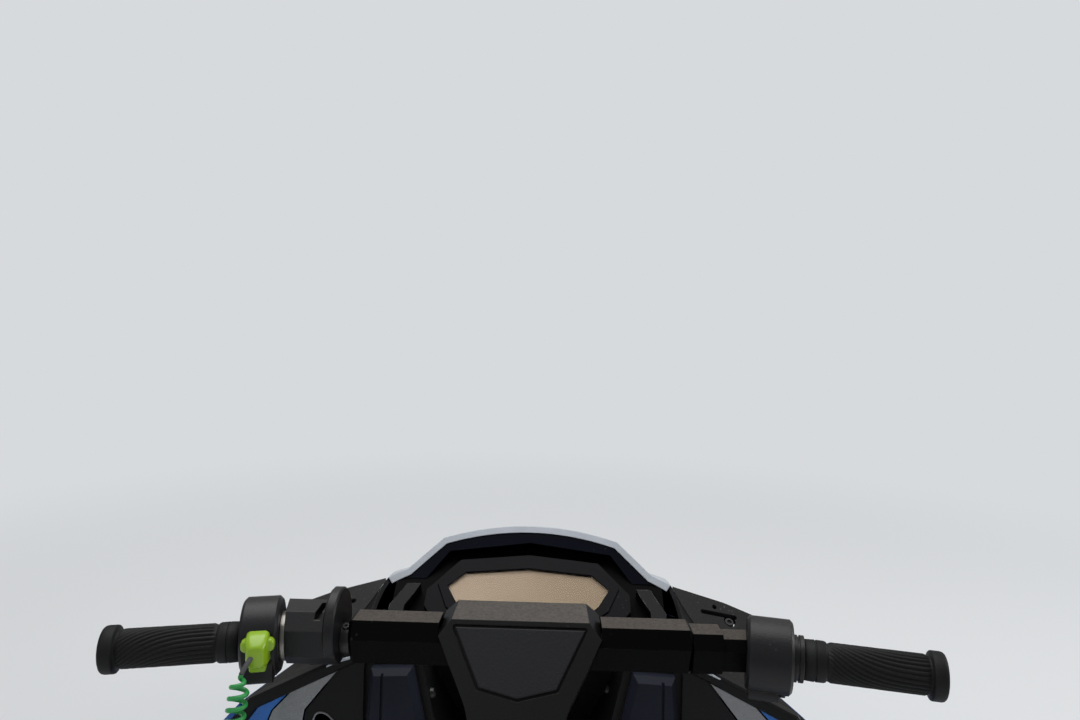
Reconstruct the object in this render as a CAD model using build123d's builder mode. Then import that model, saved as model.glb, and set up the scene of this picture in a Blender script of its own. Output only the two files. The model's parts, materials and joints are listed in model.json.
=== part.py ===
"""Helm of a personal watercraft: handlebar with its controls and stop-switch lanyard,
raked steering column, display under a visor, and the console fairing around them.

Millimetres. +X starboard, +Y bow, +Z up. The origin is where the steering axis meets
the underside of the deck plate, in the middle of the column's four deck bolts.
Handed pieces are modelled to starboard and mirrored to port.
"""
import os
from math import atan2, cos, degrees, hypot, pi, radians, sin, tan

from build123d import *

os.makedirs("parts", exist_ok=True)

# steering axis and handlebar
RAKE = 25.0  # the axis leans back from upright
BAR_HEIGHT = 294.0  # handlebar centre over the deck's underside
BAR_HALF_WIDTH = 371.0  # centre line to the face of a grip's end flange
BAR_DIAMETER = 22.2
BAR_WALL = 2.8
BEND_X = BAR_HALF_WIDTH - 173.0  # where the bar turns back to the grips
BEND_RADIUS = 40.0
SWEEP_BACK = 12.0
FIT = 0.2  # radial clearance of what is clamped on a tube
SEAT_GAP = 0.3  # between faces that lie on each other

# steering column
SHAFT_RADIUS = 17.5
SHAFT_WALL = 3.5
SHAFT_CLEARANCE = 0.3
BEARING_RADIUS = 28.0
BEARING_TOP = 118.0
BRACKET_LENGTH = 140.0
BRACKET_WIDTH = 116.0
BRACKET_THICK = 6.0
BOLT_SPACING_X = BRACKET_WIDTH - 20.0
BOLT_SPACING_Y = BRACKET_LENGTH - 24.0
BOLT_HOLE_RADIUS = 4.5
ARM_LENGTH = 72.0
ARM_THICK = 9.0
ARM_BORE_RADIUS = 4.0
ARM_DROP = 48.0  # along the axis, below the deck's underside

# grips and housings, measured along the grip from the bar's bend
GRIP_RADIUS = 16.6
GRIP_START = 60.0
GRIP_FLANGE_RADIUS = 21.0
GRIP_FLANGE_THICK = 12.0
GRIP_CUFF = 24.0
GRIP_RIBS = 36
THROTTLE_RADIUS = 33.0
THROTTLE_START = 10.0
THROTTLE_END = 50.0
THROTTLE_COLLAR_RADIUS = 20.5
SLEEVE_STEP = 184.0  # where the throttle's cable sleeve steps down
SWITCH_RADIUS = 34.5
SWITCH_RISE = 5.0  # of the switch drum's middle over the bar's axis
SWITCH_START = 24.0
SWITCH_END = 57.0
RING_GAP = 5.0  # room for the clamp ring beside the switch drum
LEVER_THICK = 8.0
LEVER_DROP = 22.0  # lever's middle below the bar's axis

# covers at the middle of the handlebar
COVER_WALL = 5.0
WING_END = BEND_X - 41.0
PAD_GROOVE = 2.4
PAD_RECESS = 3.0

# fairing; its tables and outlines are drawn for one handlebar height and lifted with it
DRAWN_BAR_HEIGHT = 294.0
LIFT = BAR_HEIGHT / DRAWN_BAR_HEIGHT
DECK_THICK = 6.0
DECK_FLANGE = 8.0
PANEL = 5.0
HOOD_WALL = 4.0
SEAM = 1.6  # open joint between neighbouring panels
VISOR_EDGE = 7.6
VISOR_EDGE_DEPTH = 14.0
LINER_SETBACK = 1.5  # of the liner's face behind the visor's edge
LINER_END_Y = 150.0
TRIM_WIDTH = 12.0
TRIM_PROUD = 5.0
CONSOLE_TOP = 243.0 * LIFT
CONSOLE_HALF_WIDTH = 166.0
CONSOLE_FRONT = 6.0
KNEE_PROUD = 14.0
KNEE_BEVEL = 5.0
KNEE_GROOVE_DEPTH = 3.0
BULKHEAD_FOOT_Y = -97.0
BULKHEAD_LEAN = 0.10
BULKHEAD_TURN = 0.15
BULKHEAD_TURN_X = 150.0
NOSE_LENGTH = 44.0
WINGLET_THICK = 9.0
WINGLET_SLOT = 5.0

# display
DISPLAY_TILT = 30.0
DISPLAY_Y = 75.0
DISPLAY_Z = 295.0 * LIFT
BEZEL_DEPTH = 6.0
GLASS_THICK = 2.5
POD_HEIGHT = 14.0
RECESS_PLATE = 4.0

# lanyard
COIL_DIAMETER = 17.6
LANYARD_SLEEVE_DIAMETER = 4.4

STERN = (0, -1, 0)
BAR_RADIUS = BAR_DIAMETER / 2
BAR_Y = -BAR_HEIGHT * tan(radians(RAKE))
AXIS_TO_BAR = BAR_HEIGHT / cos(radians(RAKE))
STEERING = Plane(
    origin=(0, 0, 0), x_dir=(1, 0, 0), z_dir=(0, -sin(radians(RAKE)), cos(radians(RAKE)))
)
GRIP_DIRECTION = Vector(cos(radians(SWEEP_BACK)), -sin(radians(SWEEP_BACK)), 0)
GRIP = Plane(
    origin=(BEND_X, BAR_Y, BAR_HEIGHT),
    x_dir=(sin(radians(SWEEP_BACK)), cos(radians(SWEEP_BACK)), 0),
    z_dir=GRIP_DIRECTION,
)  # local x forward, local y up, z outward along the grip
GRIP_END = (BAR_HALF_WIDTH - BEND_X) / cos(radians(SWEEP_BACK))


def across(x):
    """Plane square to the handlebar's middle, with local x forward and local y up"""
    return Plane(origin=(x, BAR_Y, BAR_HEIGHT), x_dir=(0, 1, 0), z_dir=(1, 0, 0))


def station(y):
    """Cross-section of the fairing, with local x to starboard and local y up"""
    return Plane(origin=(0, y, 0), x_dir=(1, 0, 0), z_dir=STERN)


def leaning(y, z, lean, turn=0.0, x=0.0):
    """Plane facing astern through a point, whose y grows by lean with z and falls by turn with x"""
    return Plane(origin=(x, y, z), x_dir=(1, -turn, 0), z_dir=(-turn, -1, lean))


def seen_from_astern(plane, points):
    """Outline points (x, z), as the rider sees them, laid on a plane"""
    laid = []
    base, normal = plane.origin, plane.z_dir
    for x, z in points:
        y = base.Y - (normal.X * (x - base.X) + normal.Z * (z - base.Z)) / normal.Y
        local = plane.to_local_coords(Vector(x, y, z))
        laid.append((local.X, local.Y))
    return laid


def both_sides(points):
    """Starboard outline from the centre line outward, closed with its mirror image"""
    return points + [(-x, z) for x, z in reversed(points) if x > 0]


def inset(points, wall):
    """Mitred line that runs a wall's thickness to the right of an open outline"""
    ways = []
    for (x0, z0), (x1, z1) in zip(points, points[1:]):
        run = hypot(x1 - x0, z1 - z0)
        ways.append(((x1 - x0) / run, (z1 - z0) / run))
    inner = []
    for i, (x, z) in enumerate(points):
        before, after = ways[max(i - 1, 0)], ways[min(i, len(ways) - 1)]
        mx, mz = before[1] + after[1], -before[0] - after[0]
        reach = 2 * wall / (mx * mx + mz * mz)
        inner.append((x + reach * mx, z + reach * mz))
    return inner


def pulled_in(start, towards, distance):
    """Point moved a distance from start on the way to another point"""
    run = hypot(towards[0] - start[0], towards[1] - start[1])
    share = distance / run
    return (start[0] + share * (towards[0] - start[0]), start[1] + share * (towards[1] - start[1]))


def polygon(points, mode=Mode.ADD):
    """Closed flat outline as a face of the sketch that is being drawn"""
    Polygon(*points, align=None, mode=mode)


def bevelled(width, height, corner, x=0.0, y=0.0):
    """Rectangle around a point, with its corners cut off"""
    half_w, half_h = width / 2, height / 2
    quarter = [(half_w - corner, half_h), (half_w, half_h - corner)]
    right = quarter + [(a, -b) for a, b in reversed(quarter)]
    return [(x + a, y + b) for a, b in right + [(-a, b) for a, b in reversed(right)]]


def lifted(points):
    """Fairing outline (x, z) raised or lowered with the handlebar"""
    return [(x, z * LIFT) for x, z in points]


def save(piece, name):
    piece.part.label = name
    export_step(piece.part, f"parts/{name}.step")


def save_pair(piece, name):
    """Writes a starboard piece and its mirror image to port"""
    save(piece, f"{name}_right")
    with BuildPart() as port:
        mirror(piece.part, about=Plane.YZ)
    save(port, f"{name}_left")


# fairing sections, from the stern end to the bow
# columns: y, seam x, z (hood to cheek), shoulder x, z, crease x, z, foot x
FLANK = [
    (-135, 177, 247, 290, 202, 335, 128, 340),
    (-20, 174, 249, 235, 220, 313, 128, 333),
    (50, 169, 273, 200, 226, 284, 120, 325),
    (160, 162, 243, 190, 196, 262, 104, 300),
    (290, 152, 184, 178, 142, 224, 76, 250),
    (420, 120, 107, 144, 78, 166, 42, 178),
    (500, 84, 50, 102, 34, 111, 20, 115),
]
# columns: y, crown z, corner x, z, kink x, z
HOOD = [
    (-135, 352, 128, 330, 166, 272),
    (-20, 358, 115, 338, 155, 290),
    (50, 342, 108, 325, 147, 286),
    (160, 309, 102, 292, 141, 254),
    (290, 245, 88, 229, 132, 196),
    (420, 152, 64, 139, 102, 116),
    (500, 76, 40, 69, 70, 56),
]
HOOD_BY_Y = {}
for y, crown_z, corner_x, corner_z, kink_x, kink_z in HOOD:
    HOOD_BY_Y[y] = lifted([(0, crown_z), (corner_x, corner_z), (kink_x, kink_z)])
FLANK_BY_Y = {}
for y, seam_x, seam_z, shoulder_x, shoulder_z, crease_x, crease_z, foot_x in FLANK:
    line = lifted([(seam_x, seam_z), (shoulder_x, shoulder_z), (crease_x, crease_z)])
    FLANK_BY_Y[y] = line + [(foot_x, DECK_THICK)]

BULKHEAD = leaning(BULKHEAD_FOOT_Y, 0, BULKHEAD_LEAN)
BULKHEAD_WING = leaning(BULKHEAD_FOOT_Y, 0, BULKHEAD_LEAN, BULKHEAD_TURN, BULKHEAD_TURN_X)
LIP = leaning(105.0, 327.0 * LIFT, 0.79)
DISPLAY = leaning(DISPLAY_Y, DISPLAY_Z, 1 / tan(radians(DISPLAY_TILT)))


def flank_line(y, wall=0.0):
    """Seam, shoulder, crease and foot of a station, or the same points a wall inside"""
    line = [HOOD_BY_Y[y][2], *FLANK_BY_Y[y]]
    inner = inset(line, wall) if wall else line
    points = inner[-4:]
    foot, crease = points[3], points[2]
    share = (DECK_THICK - crease[1]) / (foot[1] - crease[1])
    points[3] = (crease[0] + share * (foot[0] - crease[0]), DECK_THICK)
    return points


def hood_line(y, wall=0.0):
    """Seam, kink, corner and crown of a station, or the same points a wall inside"""
    line = HOOD_BY_Y[y] + FLANK_BY_Y[y][:2]
    inner = inset(line, wall) if wall else line
    crown = (0, line[0][1] - wall)
    return inner[3], inner[2], inner[1], crown


def hood_section(y, outer_wall, inner_wall):
    """One closed band of the hood between two depths below its skin"""
    rims = []
    for depth in (outer_wall, inner_wall):
        seam, kink, corner, crown = hood_line(y, depth)
        rims.append((pulled_in(seam, kink, SEAM / 2), kink, corner, crown))
    with BuildSketch(station(y)) as band:
        with BuildLine():
            for seam, kink, corner, crown in rims:
                Polyline((-seam[0], seam[1]), (-kink[0], kink[1]), (-corner[0], corner[1]))
                ThreePointArc((-corner[0], corner[1]), crown, corner)
                Polyline(corner, kink, seam)
            for side in (-1, 1):
                Line((side * rims[0][0][0], rims[0][0][1]), (side * rims[1][0][0], rims[1][0][1]))
        make_face()
    return band.sketch


def strip_section(y, first, last, start_gap=SEAM / 2, end_gap=SEAM / 2):
    """One closed band of the flank between two of its corners"""
    outer = flank_line(y)[first : last + 1]
    inner = flank_line(y, PANEL)[first : last + 1]
    for rim in (outer, inner):
        rim[0] = pulled_in(rim[0], rim[1], start_gap)
        if end_gap:
            rim[-1] = pulled_in(rim[-1], rim[-2], end_gap)
    with BuildSketch(station(y)) as band:
        polygon(outer + inner[::-1])
    return band.sketch


# deck plate that the fairing stands on
foot_line = [(row[7] + DECK_FLANGE, row[0]) for row in FLANK if row[0] > BULKHEAD_FOOT_Y]
stern_corner_x = FLANK[0][7] + DECK_FLANGE
stern_corner_y = BULKHEAD_FOOT_Y - BULKHEAD_TURN * (stern_corner_x - BULKHEAD_TURN_X) - DECK_FLANGE
bow_y = FLANK[-1][0]
nose_tip_y = bow_y + NOSE_LENGTH
deck_outline = [
    (0, BULKHEAD_FOOT_Y - DECK_FLANGE),
    (BULKHEAD_TURN_X, BULKHEAD_FOOT_Y - DECK_FLANGE),
    (stern_corner_x, stern_corner_y),
    *foot_line,
    (FLANK[-1][7] * 0.62 + DECK_FLANGE, nose_tip_y + DECK_FLANGE),
    (0, nose_tip_y + DECK_FLANGE),
]
with BuildPart() as deck_base:
    with BuildSketch():
        polygon(both_sides(deck_outline))
    extrude(amount=DECK_THICK)
    with GridLocations(BOLT_SPACING_X, BOLT_SPACING_Y, 2, 2):
        Hole(BOLT_HOLE_RADIUS)
    with BuildSketch(STEERING.offset(-40)):
        Circle(SHAFT_RADIUS + 6)
    extrude(amount=80, mode=Mode.SUBTRACT)
save(deck_base, "deck_base")

# column bracket: foot plate, raked bearing tube and two webs
with BuildPart() as steering_bracket:
    with BuildSketch(STEERING):
        Circle(BEARING_RADIUS)
    extrude(amount=BEARING_TOP)
    with BuildSketch(Plane.YZ):
        web_foot = [(4 - BRACKET_LENGTH / 2, DECK_THICK), (BRACKET_LENGTH / 2 - 8, DECK_THICK)]
        polygon(web_foot + [(2, 78), (-40, 96)])
    extrude(amount=4, both=True)
    with BuildSketch(Plane.XY.offset(DECK_THICK)):
        RectangleRounded(BRACKET_WIDTH, BRACKET_LENGTH, 16)
    extrude(amount=BRACKET_THICK)
    split(bisect_by=Plane.XY.offset(DECK_THICK), keep=Keep.TOP)
    with Locations(Plane.XY.offset(DECK_THICK + BRACKET_THICK)):
        with GridLocations(BOLT_SPACING_X, BOLT_SPACING_Y, 2, 2):
            Hole(BOLT_HOLE_RADIUS, depth=BRACKET_THICK)
    with BuildSketch(STEERING.offset(-60)):
        Circle(SHAFT_RADIUS + SHAFT_CLEARANCE)
    extrude(amount=BEARING_TOP + 80, mode=Mode.SUBTRACT)
save(steering_bracket, "steering_bracket")

# shaft with a collar that rests on the bearing
SHAFT_TOP = AXIS_TO_BAR - 24.0
with BuildPart() as steering_shaft:
    with BuildSketch(STEERING.offset(-ARM_DROP)):
        Circle(SHAFT_RADIUS)
    extrude(amount=ARM_DROP + SHAFT_TOP)
    with BuildSketch(STEERING.offset(BEARING_TOP + SEAT_GAP)):
        Circle(SHAFT_RADIUS + 7)
    extrude(amount=12)
    with BuildSketch(STEERING.offset(-ARM_DROP)):
        Circle(SHAFT_RADIUS - SHAFT_WALL)
    extrude(amount=ARM_DROP + SHAFT_TOP, mode=Mode.SUBTRACT)
save(steering_shaft, "steering_shaft")

# arm under the deck that pulls the steering cable
ARM_BOSS_RADIUS = SHAFT_RADIUS + 7
with BuildPart() as steering_arm:
    with BuildSketch(STEERING.offset(-ARM_DROP)):
        Circle(ARM_BOSS_RADIUS)
    extrude(amount=ARM_THICK * 2.2)
    with BuildSketch(STEERING.offset(-ARM_DROP)):
        with BuildLine():
            Polyline((0, -20), (ARM_LENGTH, -11), (ARM_LENGTH, 11), (0, 20), close=True)
        make_face()
        with Locations((ARM_LENGTH, 0)):
            Circle(11)
    extrude(amount=ARM_THICK)
    with BuildSketch(STEERING.offset(-ARM_DROP)):
        Circle(SHAFT_RADIUS + FIT)
        with Locations((ARM_LENGTH, 0)):
            Circle(ARM_BORE_RADIUS)
    extrude(amount=ARM_THICK * 2.2, mode=Mode.SUBTRACT)
save(steering_arm, "steering_arm")

# yoke on the shaft with the lower halves of both bar clamps
HOLDER_HALF_WIDTH = 39.0
HOLDER_HEIGHT = 36.0
with BuildPart() as bar_holder:
    with BuildSketch(STEERING.offset(AXIS_TO_BAR - HOLDER_HEIGHT)):
        RectangleRounded(2 * HOLDER_HALF_WIDTH, 42, 6)
    extrude(amount=HOLDER_HEIGHT - SEAT_GAP / 2)
    with BuildSketch(STEERING.offset(AXIS_TO_BAR - HOLDER_HEIGHT - 40)):
        Circle(SHAFT_RADIUS + 5)
    with BuildSketch(STEERING.offset(AXIS_TO_BAR - HOLDER_HEIGHT)):
        Circle(SHAFT_RADIUS + 3)
    loft()
    with BuildSketch(STEERING.offset(AXIS_TO_BAR - HOLDER_HEIGHT - 40)):
        Circle(SHAFT_RADIUS + FIT)
    extrude(amount=SHAFT_TOP - (AXIS_TO_BAR - HOLDER_HEIGHT - 40) + SEAT_GAP, mode=Mode.SUBTRACT)
    with BuildSketch(across(-HOLDER_HALF_WIDTH)):
        Circle(BAR_RADIUS + FIT)
    extrude(amount=2 * HOLDER_HALF_WIDTH, mode=Mode.SUBTRACT)
save(bar_holder, "bar_holder")

CLAMP_X = 26.0
CLAMP_WIDTH = 22.0
CLAMP_EAR = 20.0
with BuildPart() as bar_clamp:
    with BuildSketch(across(CLAMP_X - CLAMP_WIDTH / 2)):
        Circle(BAR_RADIUS + 5)
    extrude(amount=CLAMP_WIDTH)
    with Locations(STEERING.offset(AXIS_TO_BAR + 3)):
        with Locations((CLAMP_X, 0)):
            Box(CLAMP_WIDTH, 2 * CLAMP_EAR, 6)
    with Locations(STEERING.offset(AXIS_TO_BAR + 6)):
        with Locations((CLAMP_X, CLAMP_EAR - 4.6), (CLAMP_X, 4.6 - CLAMP_EAR)):
            Cylinder(4.4, 4, align=(Align.CENTER, Align.CENTER, Align.MIN))
    split(bisect_by=STEERING.offset(AXIS_TO_BAR + SEAT_GAP / 2), keep=Keep.TOP)
    with BuildSketch(across(CLAMP_X - CLAMP_WIDTH)):
        Circle(BAR_RADIUS + FIT)
    extrude(amount=2 * CLAMP_WIDTH, mode=Mode.SUBTRACT)
save_pair(bar_clamp, "bar_clamp")

# handlebar tube
grip_tip = GRIP.origin + GRIP_DIRECTION * (GRIP_END - GRIP_FLANGE_THICK)
bar_points = [
    (-grip_tip.X, grip_tip.Y, grip_tip.Z),
    (-BEND_X, BAR_Y, BAR_HEIGHT),
    (BEND_X, BAR_Y, BAR_HEIGHT),
    (grip_tip.X, grip_tip.Y, grip_tip.Z),
]
with BuildPart() as handlebar_tube:
    with BuildLine() as bar_path:
        FilletPolyline(*bar_points, radius=BEND_RADIUS)
    with BuildSketch(Plane(origin=bar_points[0], z_dir=bar_path.line % 0)):
        Circle(BAR_RADIUS)
        Circle(BAR_RADIUS - BAR_WALL, mode=Mode.SUBTRACT)
    sweep()
save(handlebar_tube, "handlebar_tube")

# grips: cuff, ribbed sleeve and end flange
GRIP_RIB_DEPTH = 0.9
with BuildPart() as grip:
    with BuildSketch(GRIP.offset(GRIP_START)):
        Circle(GRIP_RADIUS)
    extrude(amount=GRIP_END - GRIP_FLANGE_THICK - GRIP_START)
    with BuildSketch(GRIP.offset(GRIP_START)):
        Circle(GRIP_RADIUS + 1.6)
    extrude(amount=GRIP_CUFF)
    with BuildSketch(GRIP.offset(GRIP_START + GRIP_CUFF)):
        with PolarLocations(GRIP_RADIUS, GRIP_RIBS):
            Rectangle(2 * GRIP_RIB_DEPTH, pi * GRIP_RADIUS / GRIP_RIBS)
    extrude(amount=GRIP_END - GRIP_FLANGE_THICK - GRIP_START - GRIP_CUFF)
    with BuildSketch(GRIP.offset(GRIP_END - GRIP_FLANGE_THICK)):
        Circle(GRIP_FLANGE_RADIUS)
    extrude(amount=GRIP_FLANGE_THICK)
    chamfer(edges().filter_by(GeomType.CIRCLE).group_by(SortBy.RADIUS)[-1], 2.2)
    with BuildSketch(GRIP.offset(GRIP_START)):
        Circle(BAR_RADIUS + FIT)
    extrude(amount=GRIP_END - GRIP_FLANGE_THICK - GRIP_START, mode=Mode.SUBTRACT)
save_pair(grip, "grip")


def lever(pivot, blade, name, mirrored=False):
    """Finger lever: boss on its upright pin and a blade along the grip; points are (forward, out)"""
    drop = Plane(
        origin=GRIP.origin - Vector(0, 0, LEVER_DROP + LEVER_THICK / 2),
        x_dir=GRIP.x_dir,
        z_dir=(0, 0, 1),
    )
    laid = [(forward, -out) for forward, out in blade]
    with BuildPart() as piece:
        with BuildSketch(drop):
            polygon(laid)
            with Locations((pivot[0], -pivot[1])):
                Circle(10)
        extrude(amount=LEVER_THICK)
        with Locations(drop):
            with Locations((pivot[0], -pivot[1])):
                Cylinder(3, LEVER_THICK * 3, mode=Mode.SUBTRACT)
    if mirrored:
        with BuildPart() as port:
            mirror(piece.part, about=Plane.YZ)
        piece = port
    save(piece, name)


def lug(pivot):
    """Fork on a housing's front that holds a lever's pin"""
    base = GRIP.origin - Vector(0, 0, LEVER_DROP)
    fork = Plane(origin=base, x_dir=GRIP.x_dir, z_dir=(0, 0, 1))
    with Locations(fork):
        with Locations((pivot[0] - 12, -pivot[1])):
            Box(46, 26, LEVER_THICK + 12)
        with Locations((pivot[0] + 10, -pivot[1])):
            Box(44, 40, LEVER_THICK + 2 * SEAT_GAP, mode=Mode.SUBTRACT)
        with Locations((pivot[0], -pivot[1])):
            Cylinder(3 - FIT, LEVER_THICK + 12)


THROTTLE_PIVOT = (44.0, 30.0)
with BuildPart() as throttle_housing:
    with BuildSketch(GRIP.offset(THROTTLE_START)):
        Circle(THROTTLE_RADIUS)
    extrude(amount=THROTTLE_END - THROTTLE_START)
    chamfer(edges().filter_by(GeomType.CIRCLE), 2.5)
    with BuildSketch(GRIP.offset(THROTTLE_START + 3)):
        with Locations((-4, 4 - THROTTLE_RADIUS)):
            RectangleRounded(34, 14, 6)
    extrude(amount=THROTTLE_END - THROTTLE_START - 14)
    lug(THROTTLE_PIVOT)
    with BuildSketch(GRIP.offset(THROTTLE_END)):
        Circle(THROTTLE_COLLAR_RADIUS)
    extrude(amount=GRIP_START - THROTTLE_END - SEAT_GAP)
    with BuildSketch(GRIP.offset(THROTTLE_END + 4)):
        Circle(THROTTLE_COLLAR_RADIUS)
        Circle(THROTTLE_COLLAR_RADIUS - 1.5, mode=Mode.SUBTRACT)
    extrude(amount=2, mode=Mode.SUBTRACT)
    with BuildSketch(GRIP.offset(THROTTLE_START)):
        Circle(BAR_RADIUS + FIT)
    extrude(amount=GRIP_START - THROTTLE_START, mode=Mode.SUBTRACT)
save(throttle_housing, "throttle_housing")

THROTTLE_BLADE = [(38, 20), (52, 24), (66, 52), (64, 92), (54, 136), (44, 146), (38, 140), (46, 126),
                  (54, 90), (54, 60), (42, 40)]
lever(THROTTLE_PIVOT, THROTTLE_BLADE, "throttle_lever")

SLEEVE_BORE = BAR_RADIUS + 1.2
sleeve_side = [(15, 18), (-11, 20), (-19, 8), (-15, -15), (-7, -20), (9, -20), (19, -6)]
sleeve_low = [(13, 14.5), (-9, 15), (-16.5, 6), (-13, -14), (-6, -17), (8, -17), (17, -5)]
with BuildPart() as throttle_sleeve:
    with BuildSketch(across(WING_END + SEAT_GAP)):
        polygon(sleeve_side)
    extrude(amount=SLEEVE_STEP - WING_END)
    with BuildSketch(across(SLEEVE_STEP - 1)):
        polygon(sleeve_low)
    extrude(amount=50)
    split(bisect_by=GRIP.offset(THROTTLE_START - SEAT_GAP), keep=Keep.BOTTOM)
    with BuildSketch(across(WING_END)):
        Circle(SLEEVE_BORE)
    extrude(amount=BEND_X + 2 - WING_END, mode=Mode.SUBTRACT)
    with BuildSketch(GRIP.offset(-2)):
        Circle(SLEEVE_BORE)
    extrude(amount=THROTTLE_START + 4, mode=Mode.SUBTRACT)
save(throttle_sleeve, "throttle_sleeve")

# switch drum on the port grip, drawn to starboard and mirrored
with BuildPart() as switch_blank:
    with BuildSketch(GRIP.offset(SWITCH_START)):
        with Locations((0, SWITCH_RISE)):
            Circle(SWITCH_RADIUS)
    extrude(amount=SWITCH_END - SWITCH_START)
    chamfer(edges().filter_by(GeomType.CIRCLE), 2.5)
    with BuildSketch(GRIP.offset(SWITCH_START + 4)):
        with Locations((-18, -14)):
            RectangleRounded(34, 24, 5)
    extrude(amount=SWITCH_END - SWITCH_START - 8)
    with BuildSketch(GRIP.offset(SWITCH_START)):
        Circle(BAR_RADIUS + FIT)
    extrude(amount=SWITCH_END - SWITCH_START, mode=Mode.SUBTRACT)
with BuildPart() as switch_housing:
    mirror(switch_blank.part, about=Plane.YZ)
save(switch_housing, "switch_housing")

REVERSE_PIVOT = (44.0, -12.0)
LEVER_BODY_START = WING_END + 9.0
LEVER_FLANGE_THICK = 10.0
LEVER_FLANGE_RADIUS = 33.5
LEVER_FLANGE_RISE = 14.0
LEVER_BORE_END = BEND_X - 6.0  # the bar starts to bend beyond this
with BuildPart() as lever_blank:
    with BuildSketch(across(LEVER_BODY_START)):
        with Locations((0, LEVER_FLANGE_RISE)):
            Circle(LEVER_FLANGE_RADIUS)
    extrude(amount=LEVER_FLANGE_THICK)
    chamfer(edges().filter_by(GeomType.CIRCLE), 1.5)
    with BuildSketch(across(LEVER_BODY_START)):
        with Locations((0, 6)):
            polygon(bevelled(54, 50, 13))
    extrude(amount=70)
    with Locations(across(LEVER_BODY_START + LEVER_FLANGE_THICK + 8)):
        with Locations((-6, 30)):
            Box(26, 16, 6, mode=Mode.SUBTRACT)
    lug(REVERSE_PIVOT)
    split(bisect_by=GRIP.offset(SWITCH_START - RING_GAP), keep=Keep.BOTTOM)
    with BuildSketch(across(LEVER_BODY_START)):
        Circle(BAR_RADIUS + FIT)
    extrude(amount=LEVER_BORE_END - LEVER_BODY_START, mode=Mode.SUBTRACT)
    with BuildSketch(across(LEVER_BORE_END)):
        Circle(BAR_RADIUS + 2.5)
    extrude(amount=8, mode=Mode.SUBTRACT)
    with BuildSketch(GRIP.offset(-2)):
        Circle(BAR_RADIUS + 2.5)
    extrude(amount=SWITCH_START + 4, mode=Mode.SUBTRACT)
with BuildPart() as lever_housing:
    mirror(lever_blank.part, about=Plane.YZ)
save(lever_housing, "lever_housing")

REVERSE_BLADE = [(38, -22), (52, -20), (64, 8), (66, 60), (62, 104), (54, 140), (44, 150), (38, 144),
                 (46, 132), (52, 100), (54, 60), (52, 14), (42, -2)]
lever(REVERSE_PIVOT, REVERSE_BLADE, "reverse_lever", mirrored=True)

with BuildPart() as clamp_ring:
    with BuildSketch(GRIP.offset(SWITCH_START - RING_GAP + SEAT_GAP)):
        with Locations((0, 3)):
            Circle(22)
        Circle(BAR_RADIUS + FIT, mode=Mode.SUBTRACT)
    extrude(amount=RING_GAP - 2 * SEAT_GAP)
with BuildPart() as port_clamp_ring:
    mirror(clamp_ring.part, about=Plane.YZ)
save(port_clamp_ring, "clamp_ring")

with BuildPart() as bar_collar:
    with BuildSketch(across(-LEVER_BODY_START + SEAT_GAP)):
        Circle(14)
        Circle(BAR_RADIUS + FIT, mode=Mode.SUBTRACT)
    extrude(amount=LEVER_BODY_START - WING_END - 2 * SEAT_GAP)
save(bar_collar, "bar_collar")

# centre cover: a deep shell behind a five-sided shield, open below; points are (forward, up)
SHIELD_LEAN = 0.786
SHIELD_TOP = (-10.8, 27)
SHIELD = leaning(BAR_Y + SHIELD_TOP[0], BAR_HEIGHT + SHIELD_TOP[1], SHIELD_LEAN)
shield_outline = [(0, 90), (74, 90), (74, 15), (45, -31), (40, -44), (0, -48)]
cover_bevel = [(60, 30), (74, 15)]  # across each upper corner, from the top face to the side
pad_outline = [(0, 21.5), (59, 21.5), (34, -18.5), (0, -25)]
shield_foot = (SHIELD_TOP[0] - SHIELD_LEAN * (SHIELD_TOP[1] + 49), -49)
cover_side = [shield_foot, SHIELD_TOP, (27, 29), (33, 18), (31, 2), (-63, -56)]
cavity_side = inset(cover_side[:5], COVER_WALL)
cavity_side = [(cavity_side[0][0] - 31.4, -90)] + cavity_side[1:] + [(cavity_side[-1][0], -90)]
beside_shield = [(-120, -90), (-120, 60), (60, 60), (60, -90)]


def over_bar(points):
    """Outline points given from the handlebar's centre, as heights over the deck"""
    return [(x, z + BAR_HEIGHT) for x, z in points]


def shield_blank(side_points, outline, growth=0.0, bevel_wall=None):
    """Solid inside the cover's side profile and its outline, with bevels a wall inside the real ones"""
    with BuildPart() as blank:
        with BuildSketch(across(0)):
            polygon(side_points)
        extrude(amount=90, both=True)
        with BuildSketch(SHIELD) as face:
            polygon(seen_from_astern(SHIELD, over_bar(both_sides(outline))))
            if growth:
                offset(amount=growth, kind=Kind.INTERSECTION)
        extrude(amount=120, both=True, mode=Mode.INTERSECT)
        if bevel_wall is not None:
            top, side = over_bar(inset(cover_bevel, bevel_wall))
            wedge = [top, (top[0], top[1] + 60), (side[0] + 60, top[1] + 60), (side[0] + 60, side[1]), side]
            with BuildSketch(station(0)):
                polygon(wedge)
                polygon([(-x, z) for x, z in wedge])
            extrude(amount=300, both=True, mode=Mode.SUBTRACT)
    return blank.part


with BuildPart() as cover_frame:
    add(shield_blank(cover_side, shield_outline, bevel_wall=0))
    add(shield_blank(cavity_side, shield_outline, -COVER_WALL, bevel_wall=COVER_WALL), mode=Mode.SUBTRACT)
    with BuildSketch(SHIELD):
        polygon(seen_from_astern(SHIELD, over_bar(both_sides(pad_outline))))
        offset(amount=PAD_GROOVE)
    extrude(amount=-PAD_RECESS, mode=Mode.SUBTRACT)
    with BuildSketch(across(-90)):
        Circle(BAR_RADIUS + 3)
    extrude(amount=180, mode=Mode.SUBTRACT)
save(cover_frame, "cover_frame")

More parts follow.
